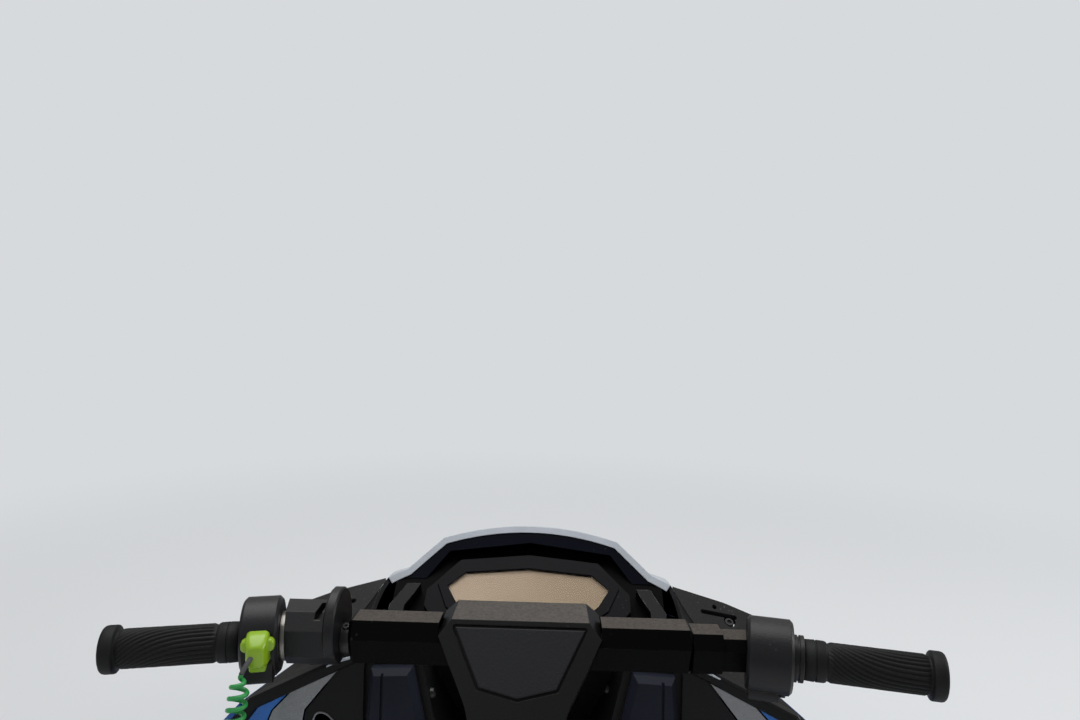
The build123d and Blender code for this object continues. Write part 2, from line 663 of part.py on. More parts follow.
with BuildPart() as cover_pad:
    with BuildSketch(SHIELD.offset(-PAD_RECESS)):
        polygon(seen_from_astern(SHIELD, over_bar(both_sides(pad_outline))))
    extrude(amount=PAD_RECESS + 1.2)
    chamfer(faces().sort_by(Axis(SHIELD.origin, SHIELD.z_dir))[-1].edges(), 0.8)
save(cover_pad, "cover_pad")

wing_side = [(17, 21), (-13, 24), (-20, 8), (-11, -18), (11, -18), (19, -4)]
with BuildPart() as cover_wing:
    with BuildSketch(across(20)):
        polygon(wing_side)
    extrude(amount=WING_END - 20)
    chamfer(faces().sort_by(Axis.X)[-1].edges(), 3)
    with BuildSketch(across(20)):
        polygon(wing_side)
        offset(amount=-COVER_WALL / 1.4, mode=Mode.REPLACE, kind=Kind.INTERSECTION)
    extrude(amount=WING_END - 20 - COVER_WALL, mode=Mode.SUBTRACT)
    with BuildSketch(across(20)):
        Circle(BAR_RADIUS + FIT)
    extrude(amount=WING_END, mode=Mode.SUBTRACT)
    add(shield_blank(beside_shield, shield_outline, growth=SEAT_GAP), mode=Mode.SUBTRACT)
save_pair(cover_wing, "cover_wing")

# hood skin, its bright visor edge and the dark liner under it
with BuildPart() as hood:
    loft([hood_section(row[0], 0.0, HOOD_WALL) for row in HOOD])
    split(bisect_by=LIP.offset(-VISOR_EDGE_DEPTH - SEAT_GAP), keep=Keep.BOTTOM)
save(hood, "hood")

with BuildPart() as visor_edge:
    loft([hood_section(row[0], 0.0, VISOR_EDGE) for row in HOOD])
    split(bisect_by=LIP, keep=Keep.BOTTOM)
    split(bisect_by=LIP.offset(-VISOR_EDGE_DEPTH), keep=Keep.TOP)
save(visor_edge, "visor_edge")


def hood_core(depth):
    """Solid space under the hood, a depth inside its skin"""
    with BuildPart() as core:
        for row in HOOD:
            seam, kink, corner, crown = hood_line(row[0], depth)
            foot = (seam[0], -CONSOLE_TOP)
            starboard = [corner, kink, seam, foot]
            port = [(-x, z) for x, z in reversed(starboard)]
            with BuildSketch(station(row[0])):
                with BuildLine():
                    Polyline(*starboard, *port)
                    ThreePointArc(port[-1], crown, corner)
                make_face()
        loft()
    return core.part


RECESS = DISPLAY.offset(-POD_HEIGHT)
MOUTH = lifted([(0, 310), (97, 300), (133, 262), (133, 200)])
with BuildPart() as visor_liner:
    add(hood_core(VISOR_EDGE + SEAT_GAP))
    with BuildSketch(station(0)):
        polygon(both_sides(MOUTH))
    extrude(amount=-2 * LINER_END_Y, mode=Mode.SUBTRACT)
    split(bisect_by=LIP.offset(-LINER_SETBACK), keep=Keep.BOTTOM)
    split(bisect_by=station(LINER_END_Y), keep=Keep.TOP)
    split(bisect_by=RECESS.offset(SEAT_GAP), keep=Keep.TOP)
save(visor_liner, "visor_liner")

# dark cheeks below the hood's seams and blue side panels below them
TRIM_BACK = BULKHEAD_WING.offset(-PANEL - 2 - SEAT_GAP)
with BuildPart() as cheek:
    loft([strip_section(row[0], 0, 1) for row in FLANK])
    split(bisect_by=TRIM_BACK, keep=Keep.BOTTOM)
save_pair(cheek, "cheek")

with BuildPart() as side_panel:
    loft([strip_section(row[0], 1, 3, end_gap=0) for row in FLANK])
    split(bisect_by=TRIM_BACK, keep=Keep.BOTTOM)
save_pair(side_panel, "side_panel")

# nose that closes the fairing's bow end
NOSE = [(0.0, 1.0), (0.45, 0.9), (0.8, 0.76), (1.0, 0.6)]  # (share of its length, share of its size)
with BuildPart() as nose_cap:
    seam, kink, corner, crown = hood_line(bow_y)
    bow_outline = [crown, corner, kink, *flank_line(bow_y)]
    for reach, share in NOSE:
        outline = [(x * share, DECK_THICK + (z - DECK_THICK) * share) for x, z in bow_outline]
        with BuildSketch(station(bow_y + SEAT_GAP + reach * NOSE_LENGTH)):
            polygon(both_sides(outline))
    loft(ruled=True)
save(nose_cap, "nose_cap")

# console tub: rear wall, top deck, and the raked tunnel that the column rises through
TUNNEL = lifted([(105, 243), (92, 186), (62, 104)]) + [(62, DECK_THICK)]
TUNNEL_REACH = 72.0  # from the steering axis to the tunnel's front wall
TUNNEL_WALL = Plane(
    origin=(0, TUNNEL_REACH / cos(radians(RAKE)), 0),
    x_dir=(1, 0, 0),
    z_dir=(0, cos(radians(RAKE)), sin(radians(RAKE))),
)


def console_block(depth):
    """Console's outside, or the same a depth inside it and open below"""
    top = CONSOLE_TOP - depth
    foot = DECK_THICK - (1 if depth else 0)
    rear = BULKHEAD.offset(-PANEL - depth)

    def rear_y(z):
        return rear.origin.Y - rear.z_dir.Z * (z - rear.origin.Z) / rear.z_dir.Y

    half = CONSOLE_HALF_WIDTH - depth
    with BuildPart() as block:
        with BuildSketch(Plane.YZ):
            rear_face = [(rear_y(foot), foot), (rear_y(top), top)]
            polygon(rear_face + [(CONSOLE_FRONT - depth, top), (104 - depth, foot)])
        extrude(amount=half, both=True)
    return block.part


def tunnel(depth):
    """Space of the column's tunnel, or the same grown by a depth"""
    edge = [(x + depth, z) for x, z in TUNNEL]
    edge[0] = (edge[0][0], CONSOLE_TOP + 1)
    edge[-1] = (edge[-1][0], DECK_THICK - 1)
    with BuildPart() as space:
        with BuildSketch(station(-200)):
            polygon([(0, CONSOLE_TOP + 1)] + edge + [(0, DECK_THICK - 1)])
        extrude(amount=-400)
        mirror(about=Plane.YZ)
        split(bisect_by=TUNNEL_WALL.offset(depth), keep=Keep.BOTTOM)
    return space.part


# knee pads each side of the tunnel
KNEE = lifted([(112, 236), (154, 234), (158, 185), (156, 90), (148, 30), (78, 30), (76, 100), (100, 183)])
with BuildPart() as knee_pad:
    with BuildSketch(BULKHEAD.offset(-PANEL)):
        polygon(seen_from_astern(BULKHEAD, KNEE))
    extrude(amount=PANEL + KNEE_BEVEL)
    with BuildSketch(BULKHEAD.offset(KNEE_BEVEL)):
        polygon(seen_from_astern(BULKHEAD, KNEE))
    with BuildSketch(BULKHEAD.offset(KNEE_PROUD)):
        polygon(seen_from_astern(BULKHEAD, KNEE))
        offset(amount=-KNEE_BEVEL, mode=Mode.REPLACE, kind=Kind.INTERSECTION)
    loft()
    with BuildSketch(BULKHEAD.offset(KNEE_PROUD - KNEE_GROOVE_DEPTH)):
        polygon(seen_from_astern(BULKHEAD, [(139.5, 260), (142, 260), (144, 10), (141.5, 10)]))
    extrude(amount=2 * KNEE_GROOVE_DEPTH, mode=Mode.SUBTRACT)
save_pair(knee_pad, "knee_pad")

# rear panels outboard of the knees, each from (x, z) outlines on the turned bulkhead
PANEL_FOOT = DECK_THICK - 2.0  # outlines reach below the deck's face and are cut to it
DARK_EDGE = lifted([(187, 226), (219, 193), (226, 150), (228, 100)]) + [(205, PANEL_FOOT)]
SILVER_EDGE = lifted([(234, 210), (251, 194), (268, 150), (272, 100)]) + [(255, PANEL_FOOT)]
SKYLINE = lifted([(174, 251), (236, 224), (273, 208), (331, 128)]) + [(338, PANEL_FOOT)]
TRIM_INNER = inset(SKYLINE, TRIM_WIDTH)
TRIM_INNER[-1] = (TRIM_INNER[-1][0], PANEL_FOOT)
INNER_PANEL_EDGE_X = 161.0


def rear_panel(outline, name, vent=None):
    with BuildPart() as panel:
        with BuildSketch(BULKHEAD_WING):
            polygon(seen_from_astern(BULKHEAD_WING, outline))
            offset(amount=-SEAM / 2, mode=Mode.REPLACE, kind=Kind.INTERSECTION)
            if vent:
                x, z, width, height, turn = vent
                with Locations(seen_from_astern(BULKHEAD_WING, [(x, z)])[0]):
                    Ellipse(width / 2, height / 2, rotation=turn, mode=Mode.SUBTRACT)
        extrude(amount=-PANEL)
        split(bisect_by=Plane.XY.offset(DECK_THICK), keep=Keep.TOP)
    save_pair(panel, name)


def trim_point(x):
    """Point of the trim's inner line at a given x"""
    for (x0, z0), (x1, z1) in zip(TRIM_INNER, TRIM_INNER[1:]):
        if x0 <= x <= x1:
            return (x, z0 + (z1 - z0) * (x - x0) / (x1 - x0))
    return TRIM_INNER[-1]


dark_top, silver_top = trim_point(187), trim_point(234)
inner_edge = [(INNER_PANEL_EDGE_X, PANEL_FOOT), (INNER_PANEL_EDGE_X, 238 * LIFT)]
rear_panel(
    [*inner_edge, TRIM_INNER[0], dark_top, *DARK_EDGE[1:]],
    "inner_panel",
    vent=(197, 168 * LIFT, 22, 46, -24),
)
rear_panel([dark_top, silver_top, *SILVER_EDGE[1:], *DARK_EDGE[:0:-1]], "silver_panel")
rear_panel([silver_top, *TRIM_INNER[2:], *SILVER_EDGE[:0:-1]], "rear_flank")

with BuildPart() as shoulder_trim:
    with BuildSketch(BULKHEAD_WING.offset(-PANEL - 2)):
        polygon(seen_from_astern(BULKHEAD_WING, SKYLINE + TRIM_INNER[::-1]))
    extrude(amount=PANEL + 2 + TRIM_PROUD)
    chamfer(faces().sort_by(Axis(BULKHEAD_WING.origin, BULKHEAD_WING.z_dir))[-1].edges(), 2.5)
    split(bisect_by=Plane.XY.offset(DECK_THICK), keep=Keep.TOP)
save_pair(shoulder_trim, "shoulder_trim")

# winglets over the shoulders, cut to the cheeks' surface
WINGLET = [(168, 52), (226, 42), (286, 24), (276, -4), (206, -24), (166, -16)]
with BuildPart() as flank_mass:
    for row in FLANK:
        line = [(x + SEAT_GAP, z + SEAT_GAP) for x, z in flank_line(row[0])]
        with BuildSketch(station(row[0])):
            polygon(line + [(40, DECK_THICK), (40, line[0][1])])
    loft()
WINGLET_TOP = Plane(origin=(168, 50, 276 * LIFT), x_dir=(1, 0, -0.137), z_dir=(0.137, -0.565, 1))
SLOT_LINE = [(197, 27.5), (238, 26)]
SLOT_BOLT = (229, 21)
WINGLET_HOLE = (214, 35)
slot_run = hypot(SLOT_LINE[1][0] - SLOT_LINE[0][0], SLOT_LINE[1][1] - SLOT_LINE[0][1])
slot_turn = degrees(atan2(SLOT_LINE[1][1] - SLOT_LINE[0][1], SLOT_LINE[1][0] - SLOT_LINE[0][0]))
slot_middle = ((SLOT_LINE[0][0] + SLOT_LINE[1][0]) / 2, (SLOT_LINE[0][1] + SLOT_LINE[1][1]) / 2)
with BuildPart() as winglet:
    with BuildSketch(Plane.XY.offset(190 * LIFT)):
        polygon(WINGLET)
        with Locations(SLOT_BOLT):
            Circle(6.5, mode=Mode.SUBTRACT)
        with Locations(WINGLET_HOLE):
            Circle(2.6, mode=Mode.SUBTRACT)
        with Locations(slot_middle):
            SlotOverall(slot_run, WINGLET_SLOT, rotation=slot_turn, mode=Mode.SUBTRACT)
    extrude(amount=120)
    split(bisect_by=WINGLET_TOP, keep=Keep.BOTTOM)
    split(bisect_by=WINGLET_TOP.offset(-WINGLET_THICK), keep=Keep.TOP)
    add(flank_mass.part, mode=Mode.SUBTRACT)
save_pair(winglet, "winglet")

# display: pod on a sunk plate, bezel, screen and glass
BEZEL = lifted([(0, 295), (77.5, 290), (105, 275.6), (92, 260), (72, 252), (0, 251)])
GLASS = lifted([(0, 288.5), (73.4, 284.6), (93.2, 274.4), (80.6, 263), (66, 256), (0, 255)])
POD = lifted([(0, 299), (82, 294), (117, 272), (117, 261), (100, 249.5), (0, 249)])
pillar_outer = [(140, 244), (156, 244), (156, 261), (145.5, 271), (141, 276)]
PILLAR = lifted(pillar_outer + [(125, 276), (129, 271), (139, 261)])

with BuildPart() as display_housing:
    with BuildSketch(DISPLAY):
        polygon(seen_from_astern(DISPLAY, both_sides(POD)))
    extrude(amount=-POD_HEIGHT - RECESS_PLATE - 4)
    with BuildSketch(DISPLAY):
        polygon(seen_from_astern(DISPLAY, both_sides(BEZEL)))
    extrude(amount=-BEZEL_DEPTH, mode=Mode.SUBTRACT)
save(display_housing, "display_housing")

with BuildPart() as pod_space:
    with BuildSketch(DISPLAY):
        polygon(seen_from_astern(DISPLAY, both_sides(POD)))
        offset(amount=SEAT_GAP, kind=Kind.INTERSECTION)
    extrude(amount=60, both=True)

with BuildPart() as display_bezel:
    with BuildSketch(DISPLAY.offset(-BEZEL_DEPTH)):
        polygon(seen_from_astern(DISPLAY, both_sides(BEZEL)))
        offset(amount=-SEAT_GAP, mode=Mode.REPLACE, kind=Kind.INTERSECTION)
    extrude(amount=BEZEL_DEPTH + 1.5)
    with BuildSketch(DISPLAY.offset(-BEZEL_DEPTH)):
        polygon(seen_from_astern(DISPLAY, both_sides(GLASS)))
    extrude(amount=BEZEL_DEPTH + 2, mode=Mode.SUBTRACT)
save(display_bezel, "display_bezel")

with BuildPart() as lcd_screen:
    with BuildSketch(DISPLAY.offset(-BEZEL_DEPTH)):
        polygon(seen_from_astern(DISPLAY, both_sides(GLASS)))
        offset(amount=-SEAT_GAP, mode=Mode.REPLACE, kind=Kind.INTERSECTION)
    extrude(amount=BEZEL_DEPTH - GLASS_THICK - SEAT_GAP)
save(lcd_screen, "lcd_screen")

with BuildPart() as display_glass:
    with BuildSketch(DISPLAY.offset(-GLASS_THICK)):
        polygon(seen_from_astern(DISPLAY, both_sides(GLASS)))
        offset(amount=-SEAT_GAP, mode=Mode.REPLACE, kind=Kind.INTERSECTION)
    extrude(amount=GLASS_THICK)
save(display_glass, "display_glass")

with BuildPart() as console_hollow:
    add(console_block(PANEL))
    add(tunnel(PANEL), mode=Mode.SUBTRACT)
with BuildPart() as console_tub:
    add(console_block(0))
    add(tunnel(0), mode=Mode.SUBTRACT)
    add(console_hollow.part, mode=Mode.SUBTRACT)
    add(pod_space.part, mode=Mode.SUBTRACT)
save(console_tub, "console_tub")

with BuildPart() as recess_space:
    add(hood_core(VISOR_EDGE + SEAT_GAP))
    with Locations((0, FLANK[2][0], CONSOLE_TOP)):
        Box(2 * CONSOLE_HALF_WIDTH - 18, 120, 220, align=(Align.CENTER, Align.MAX, Align.CENTER))
RECESS_EDGE = lifted([(-157, 240), (157, 240), (157, 330), (-157, 330)])
with BuildPart() as recess_panel:
    with BuildSketch(RECESS):
        polygon(seen_from_astern(RECESS, RECESS_EDGE))
    extrude(amount=-RECESS_PLATE)
    add(recess_space.part, mode=Mode.INTERSECT)
    add(pod_space.part, mode=Mode.SUBTRACT)
    split(bisect_by=Plane.XY.offset(CONSOLE_TOP + SEAT_GAP), keep=Keep.TOP)
save(recess_panel, "recess_panel")

# pillars that carry the ends of the visor's liner
with BuildPart() as visor_pillar:
    with BuildSketch(DISPLAY):
        polygon(seen_from_astern(DISPLAY, PILLAR))
    extrude(amount=SEAT_GAP - POD_HEIGHT)
    split(bisect_by=LIP, keep=Keep.TOP)
    split(bisect_by=Plane.XY.offset(CONSOLE_TOP + SEAT_GAP), keep=Keep.TOP)
save_pair(visor_pillar, "visor_pillar")

# stop-switch clip on the switch drum, drawn to starboard and mirrored
CLIP_OUT = 39.0
CLIP_UP = 11.0
CLIP_FACE = 0.5 - SWITCH_RADIUS
with BuildPart() as clip_blank:
    rear = Plane(
        origin=GRIP.from_local_coords(Vector(CLIP_FACE, CLIP_UP, CLIP_OUT)),
        x_dir=GRIP.z_dir,
        z_dir=-GRIP.x_dir,
    )
    for height, size, corner in ((0, (20, 30), 4), (14, (18, 25), 4), (20, (13, 19), 4)):
        with BuildSketch(rear.offset(height)):
            polygon(bevelled(*size, corner, y=-height / 10))
    loft(ruled=True)
    with BuildSketch(rear):
        polygon(bevelled(29, 12, 4, y=3))
    extrude(amount=9)
    with BuildSketch(GRIP.offset(SWITCH_START - 1)):
        with Locations((0, SWITCH_RISE)):
            Circle(SWITCH_RADIUS + SEAT_GAP)
    extrude(amount=60, mode=Mode.SUBTRACT)
with BuildPart() as lanyard_clip:
    mirror(clip_blank.part, about=Plane.YZ)
save(lanyard_clip, "lanyard_clip")


def cord_path(points):
    """Radii that give a route of straight runs the largest tangent arcs its runs allow"""
    radii = []
    for a, b, c in zip(points, points[1:], points[2:]):
        first, second = Vector(*b) - Vector(*a), Vector(*c) - Vector(*b)
        half_turn = radians(first.get_angle(second) / 2)
        radii.append(0.45 * min(first.length, second.length) / tan(half_turn))
    return radii


# lanyard: sleeve out of the clip, coiled cord hanging from it, wrist strap
HELM_Y, HELM_Z = BAR_Y - 2.8, BAR_HEIGHT + 6.0
COIL_ROUTE = [
    (-232.5, HELM_Y - 69, HELM_Z - 6),
    (-234, HELM_Y - 80, HELM_Z - 40),
    (-237, HELM_Y - 90, HELM_Z - 84),
    (-240, HELM_Y - 94, HELM_Z - 128),
    (-242, HELM_Y - 95, HELM_Z - 172),
    (-242, HELM_Y - 96, HELM_Z - 220),
]
with BuildPart() as lanyard_coil:
    with BuildLine() as coil_line:
        FilletPolyline(*COIL_ROUTE, radius=cord_path(COIL_ROUTE))
    with BuildSketch(Plane(origin=COIL_ROUTE[0], z_dir=coil_line.line % 0)):
        Circle(COIL_DIAMETER / 2)
    sweep()
save(lanyard_coil, "lanyard_coil")

SLEEVE_ROUTE = [
    (-227, HELM_Y - 52, HELM_Z + 6),
    (-229.5, HELM_Y - 61, HELM_Z + 2),
    COIL_ROUTE[0],
]
with BuildPart() as lanyard_sleeve:
    with BuildLine() as sleeve_line:
        FilletPolyline(*SLEEVE_ROUTE, radius=cord_path(SLEEVE_ROUTE))
    with BuildSketch(Plane(origin=SLEEVE_ROUTE[0], z_dir=sleeve_line.line % 0)):
        Circle(LANYARD_SLEEVE_DIAMETER / 2)
    sweep()
    add(lanyard_clip.part, mode=Mode.SUBTRACT)
    add(lanyard_coil.part, mode=Mode.SUBTRACT)
save(lanyard_sleeve, "lanyard_sleeve")

WRISTBAND_TOP = Vector(*COIL_ROUTE[-1]) - Vector(0, 0, SEAT_GAP)
with BuildPart() as lanyard_wristband:
    with BuildSketch(Plane(origin=WRISTBAND_TOP, z_dir=(0, 0, -1))):
        Circle(COIL_DIAMETER / 2 - 2)
    extrude(amount=14)
    with BuildSketch(Plane(origin=WRISTBAND_TOP + Vector(0, 0, -46), x_dir=(1, 0, 0), z_dir=STERN)):
        Ellipse(26, 34)
        Ellipse(23, 31, mode=Mode.SUBTRACT)
    extrude(amount=8, both=True)
save(lanyard_wristband, "lanyard_wristband")
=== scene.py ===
# %% [markdown]
# # Helm of a personal watercraft
#
# A handlebar with its controls turns on a raked column in front of a display that sits deep
# under a visor. A moulded fairing surrounds it. The rigid parts come from a imported CAD model,
# and this lesson gives them finishes and adds what a moulding drawing leaves out: ribs in the
# rubber, screws, a curly lanyard, stitching and wear. Some finishes also carry painted light:
# warm light on up-facing tops and highlights on corners.

# %% Load the frame
import json
from math import cos, pi, radians, sin, tau

import bmesh
import bpy
from mathutils import Matrix, Vector


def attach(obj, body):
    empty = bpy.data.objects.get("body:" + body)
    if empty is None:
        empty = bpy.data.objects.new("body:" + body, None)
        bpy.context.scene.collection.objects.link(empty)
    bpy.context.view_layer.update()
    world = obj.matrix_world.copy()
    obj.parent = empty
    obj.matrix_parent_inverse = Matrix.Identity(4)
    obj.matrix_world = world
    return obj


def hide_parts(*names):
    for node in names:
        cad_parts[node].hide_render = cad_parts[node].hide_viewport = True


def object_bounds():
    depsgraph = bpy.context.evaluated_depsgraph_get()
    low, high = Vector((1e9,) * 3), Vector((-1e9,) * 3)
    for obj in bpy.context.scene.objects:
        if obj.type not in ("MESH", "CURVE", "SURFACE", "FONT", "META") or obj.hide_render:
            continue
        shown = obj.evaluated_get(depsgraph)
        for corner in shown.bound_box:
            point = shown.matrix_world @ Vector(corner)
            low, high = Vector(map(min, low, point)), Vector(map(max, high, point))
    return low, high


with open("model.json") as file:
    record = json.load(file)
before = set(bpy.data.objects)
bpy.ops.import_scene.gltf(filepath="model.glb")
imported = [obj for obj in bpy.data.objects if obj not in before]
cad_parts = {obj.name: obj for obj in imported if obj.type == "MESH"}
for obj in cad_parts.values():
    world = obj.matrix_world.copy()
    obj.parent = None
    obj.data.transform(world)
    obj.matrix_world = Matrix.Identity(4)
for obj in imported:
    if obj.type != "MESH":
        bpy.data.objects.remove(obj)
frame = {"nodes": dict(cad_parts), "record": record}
cad_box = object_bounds()
nodes = frame["nodes"]

# %% [markdown]
# ## Building node trees
#
# The stage, the finishes and the repeated details are all node trees. A few short functions
# keep them readable: one adds a node with its settings, values and links, one does arithmetic
# on sockets, and one turns a value into a smooth mask.

# %% Helpers for objects, nodes and materials


def add_object(name, data):
    """Object in the scene that holds the data"""
    made = bpy.data.objects.new(name, data)
    bpy.context.scene.collection.objects.link(made)
    return made


def add_node(tree, kind, settings=(), values=(), links=()):
    """Node with its settings, its inputs' values and its inputs' links"""
    node = tree.nodes.new(kind)
    for name, setting in dict(settings).items():
        setattr(node, name, setting)
    for name, value in dict(values).items():
        node.inputs[name].default_value = value
    for name, source in dict(links).items():
        tree.links.new(source, node.inputs[name])
    return node


def maths(tree, operation, *values):
    """Math node on sockets or plain numbers"""
    node = add_node(tree, "ShaderNodeMath", {"operation": operation})
    for socket, value in zip(node.inputs, values):
        if isinstance(value, (int, float)):
            socket.default_value = value
        else:
            tree.links.new(value, socket)
    return node.outputs[0]


def ramp(tree, source, low, high):
    """Mask that rises smoothly from 0 to 1 while a value goes from low to high"""
    node = add_node(
        tree, "ShaderNodeMapRange", {"interpolation_type": "SMOOTHSTEP"},
        {"From Min": low, "From Max": high}, {"Value": source},
    )
    return node.outputs["Result"]


def mixed(tree, mask, first, second):
    """Colour that goes from first to second as the mask rises; either may be a socket"""
    node = add_node(tree, "ShaderNodeMix", {"data_type": "RGBA"}, links={"Factor": mask})
    for socket, value in ((node.inputs["A"], first), (node.inputs["B"], second)):
        if isinstance(value, tuple):
            socket.default_value = (*value, 1.0)
        else:
            tree.links.new(value, socket)
    return node.outputs["Result"]


def object_place(tree):
    """Place on the object (m)"""
    return add_node(tree, "ShaderNodeTexCoord").outputs["Object"]


def new_material(name, values):
    """Material with values on its shader; gives the material, its tree and the shader"""
    material = bpy.data.materials.new(name)
    material.use_nodes = True
    tree = material.node_tree
    shader = tree.nodes["Principled BSDF"]
    for socket_name, value in values.items():
        shader.inputs[socket_name].default_value = value
    return material, tree, shader


# %% [markdown]
# ## Camera
#
# The view is the rider's: a wide lens a little above the bar, tipped down, with the head
# turned and tilted slightly. Building the rotation from the three angles keeps each of them
# readable, and a wide lens this close gives the strong foreshortening of the fairing.

# %% Camera at the rider's eye
BAR_CENTRE = Vector((0.0, -0.137094, 0.294))
EYE = Vector((0.030, -0.8289, 0.633))
PITCH_DOWN = 6.07
TURN_LEFT = 1.42
TILT = 1.15
LENS, SENSOR_WIDTH = 26.0, 36.0  # mm
NEAREST_SEEN = 0.01

camera_data = bpy.data.cameras.new("rider_eye")
camera_data.lens = LENS
camera_data.sensor_width = SENSOR_WIDTH
camera_data.clip_start = NEAREST_SEEN
camera = add_object("rider_eye", camera_data)
level = Matrix.Rotation(radians(TURN_LEFT), 4, "Z") @ Matrix.Rotation(radians(90 - PITCH_DOWN), 4, "X")
camera.matrix_world = Matrix.Translation(EYE) @ level @ Matrix.Rotation(radians(TILT), 4, "Z")
bpy.context.scene.camera = camera
print("eye above the bar (m):", round(EYE.z - BAR_CENTRE.z, 3))

# %% [markdown]
# ## Floor and light
#
# A pale seamless floor and a few large soft lamps show a dark, glossy object best: big lamps
# leave long clean highlights on gloss, and the pale surroundings outline black plastic.

# %% Floor that fades into the backdrop
FLOOR_SIZE = 60.0
FLOOR_DROP = 0.001
FLOOR_COLOR = (0.80, 0.81, 0.82)
FLOOR_ROUGHNESS = 0.7
BACKDROP_COLOR = (0.68, 0.70, 0.72)
FADE_REACH = (0.55, 2.3)  # distance over which the floor takes the backdrop's colour (m)

floor_level = cad_box[0][2] - FLOOR_DROP
half = FLOOR_SIZE / 2
corners = [(-half, -half), (half, -half), (half, half), (-half, half)]
floor_mesh = bpy.data.meshes.new("studio_floor")
floor_mesh.from_pydata([(x, y, floor_level) for x, y in corners], [], [(0, 1, 2, 3)])
floor = add_object("studio_floor", floor_mesh)
floor_finish, tree, shader = new_material(
    "studio_floor", {"Base Color": (*FLOOR_COLOR, 1.0), "Roughness": FLOOR_ROUGHNESS}
)
floor_mesh.materials.append(floor_finish)

# only the camera sees the fade, so the floor still lights the helm from below
distance = add_node(tree, "ShaderNodeVectorMath", {"operation": "LENGTH"}, links={0: object_place(tree)})
seen = add_node(tree, "ShaderNodeLightPath")
distant = ramp(tree, distance.outputs["Value"], *FADE_REACH)
faded = maths(tree, "MULTIPLY", distant, seen.outputs["Is Camera Ray"])
backdrop = add_node(tree, "ShaderNodeEmission", values={"Color": (*BACKDROP_COLOR, 1.0)})
blend = add_node(
    tree, "ShaderNodeMixShader", links={0: faded, 1: shader.outputs["BSDF"], 2: backdrop.outputs["Emission"]}
)
tree.links.new(blend.outputs["Shader"], tree.nodes["Material Output"].inputs["Surface"])
print("floor at (m):", round(floor_level, 4))

# %% Soft lamps and the world
# columns: name, place (m), size (m), power (W)
LAMPS = [
    ("overhead_softbox", (-0.2, 0.5, 2.5), 2.2, 42),
    ("starboard_softbox", (2.3, 0.3, 1.1), 1.0, 14),
    ("stern_softbox", (-1.4, -2.0, 1.9), 1.8, 7),
]
LAMP_AIM = Vector((0.0, 0.0, 0.2))
WORLD_LIGHT = 0.40
for name, place, size, power in LAMPS:
    lamp_data = bpy.data.lights.new(name, "AREA")
    lamp_data.shape = "SQUARE"
    lamp_data.size = size
    lamp_data.energy = power
    lamp = add_object(name, lamp_data)
    lamp.location = place
    lamp.rotation_euler = (LAMP_AIM - Vector(place)).to_track_quat("-Z", "Y").to_euler()

# the camera sees the backdrop's own colour, straight or through glass, and the helm gets less
world = bpy.data.worlds.new("studio")
bpy.context.scene.world = world
world.use_nodes = True
tree = world.node_tree
sky = tree.nodes["Background"]
sky.inputs["Color"].default_value = (*BACKDROP_COLOR, 1.0)
ray = add_node(tree, "ShaderNodeLightPath")
shown = maths(tree, "MAXIMUM", ray.outputs["Is Camera Ray"], ray.outputs["Is Transmission Ray"])
strength = add_node(tree, "ShaderNodeMapRange", values={"To Min": WORLD_LIGHT}, links={"Value": shown})
tree.links.new(strength.outputs["Result"], sky.inputs["Strength"])
bpy.context.scene.view_settings.view_transform = "Standard"
print("lamps:", len(LAMPS))

# %% [markdown]
# ## Shared effects
#
# Several finishes need the same effects: corners that catch light as if slightly rounded, worn
# on some finishes and painted as highlights on others, a fine grain, metal flake, painted warm
# light on the tops, and the dried salt that spray leaves.
# Each is built once as a node group, so a material only states how strong it is. Groups give
# out masks, values and normals, and the shader itself stays in each material.

# %% Group helpers


def new_group(name, inputs, outputs):
    """Empty shader node group; inputs are (name, default), outputs are (name, socket kind)"""
    group = bpy.data.node_groups.new(name, "ShaderNodeTree")
    for socket_name, default in inputs:
        socket = group.interface.new_socket(socket_name, in_out="INPUT", socket_type="NodeSocketFloat")
        socket.default_value = default
    for socket_name, kind in outputs:
        group.interface.new_socket(socket_name, in_out="OUTPUT", socket_type="NodeSocket" + kind)
    return group, group.nodes.new("NodeGroupInput"), group.nodes.new("NodeGroupOutput")


def texture(tree, kind, values=(), settings=(), links=()):
    """Noise or Voronoi texture in the object's own space"""
    placed = {"Vector": object_place(tree), **dict(links)}
    return add_node(tree, "ShaderNodeTex" + kind, settings, values, placed)


def channel(tree, color, name):
    """One channel of a colour"""
    return add_node(tree, "ShaderNodeSeparateColor", links={"Color": color}).outputs[name]


def facing_up(tree, low, high):
    """Mask of the surfaces whose normal points up"""
    normal = add_node(tree, "ShaderNodeNewGeometry").outputs["Normal"]
    upward = add_node(tree, "ShaderNodeSeparateXYZ", links={"Vector": normal})
    return ramp(tree, upward.outputs["Z"], low, high)


# %% Rounded corners, and worn corners that also serve as painted highlights
edge_group, given, result = new_group(
    "Worn and highlighted corners", [("Radius", 0.0015), ("Wear and highlight", 0.5)], [("Normal", "Vector"), ("Mask", "Float")]
)
EDGE_PATCH_SCALE, PATCH_RANGE = 60.0, (0.42, 0.66)
CORNER_RANGE = (0.02, 0.2)  # 1 less the cosine between the rounded and the flat normal
rounded = add_node(edge_group, "ShaderNodeBevel", {"samples": 6}, links={"Radius": given.outputs["Radius"]})
flat = add_node(edge_group, "ShaderNodeNewGeometry")
likeness = add_node(
    edge_group, "ShaderNodeVectorMath", {"operation": "DOT_PRODUCT"},
    links={0: rounded.outputs["Normal"], 1: flat.outputs["Normal"]},
)
patches = texture(edge_group, "Noise", {"Scale": EDGE_PATCH_SCALE, "Detail": 4.0, "Roughness": 0.7})
corner = ramp(edge_group, maths(edge_group, "SUBTRACT", 1.0, likeness.outputs["Value"]), *CORNER_RANGE)
broken = maths(edge_group, "MULTIPLY", corner, ramp(edge_group, patches.outputs["Fac"], *PATCH_RANGE))
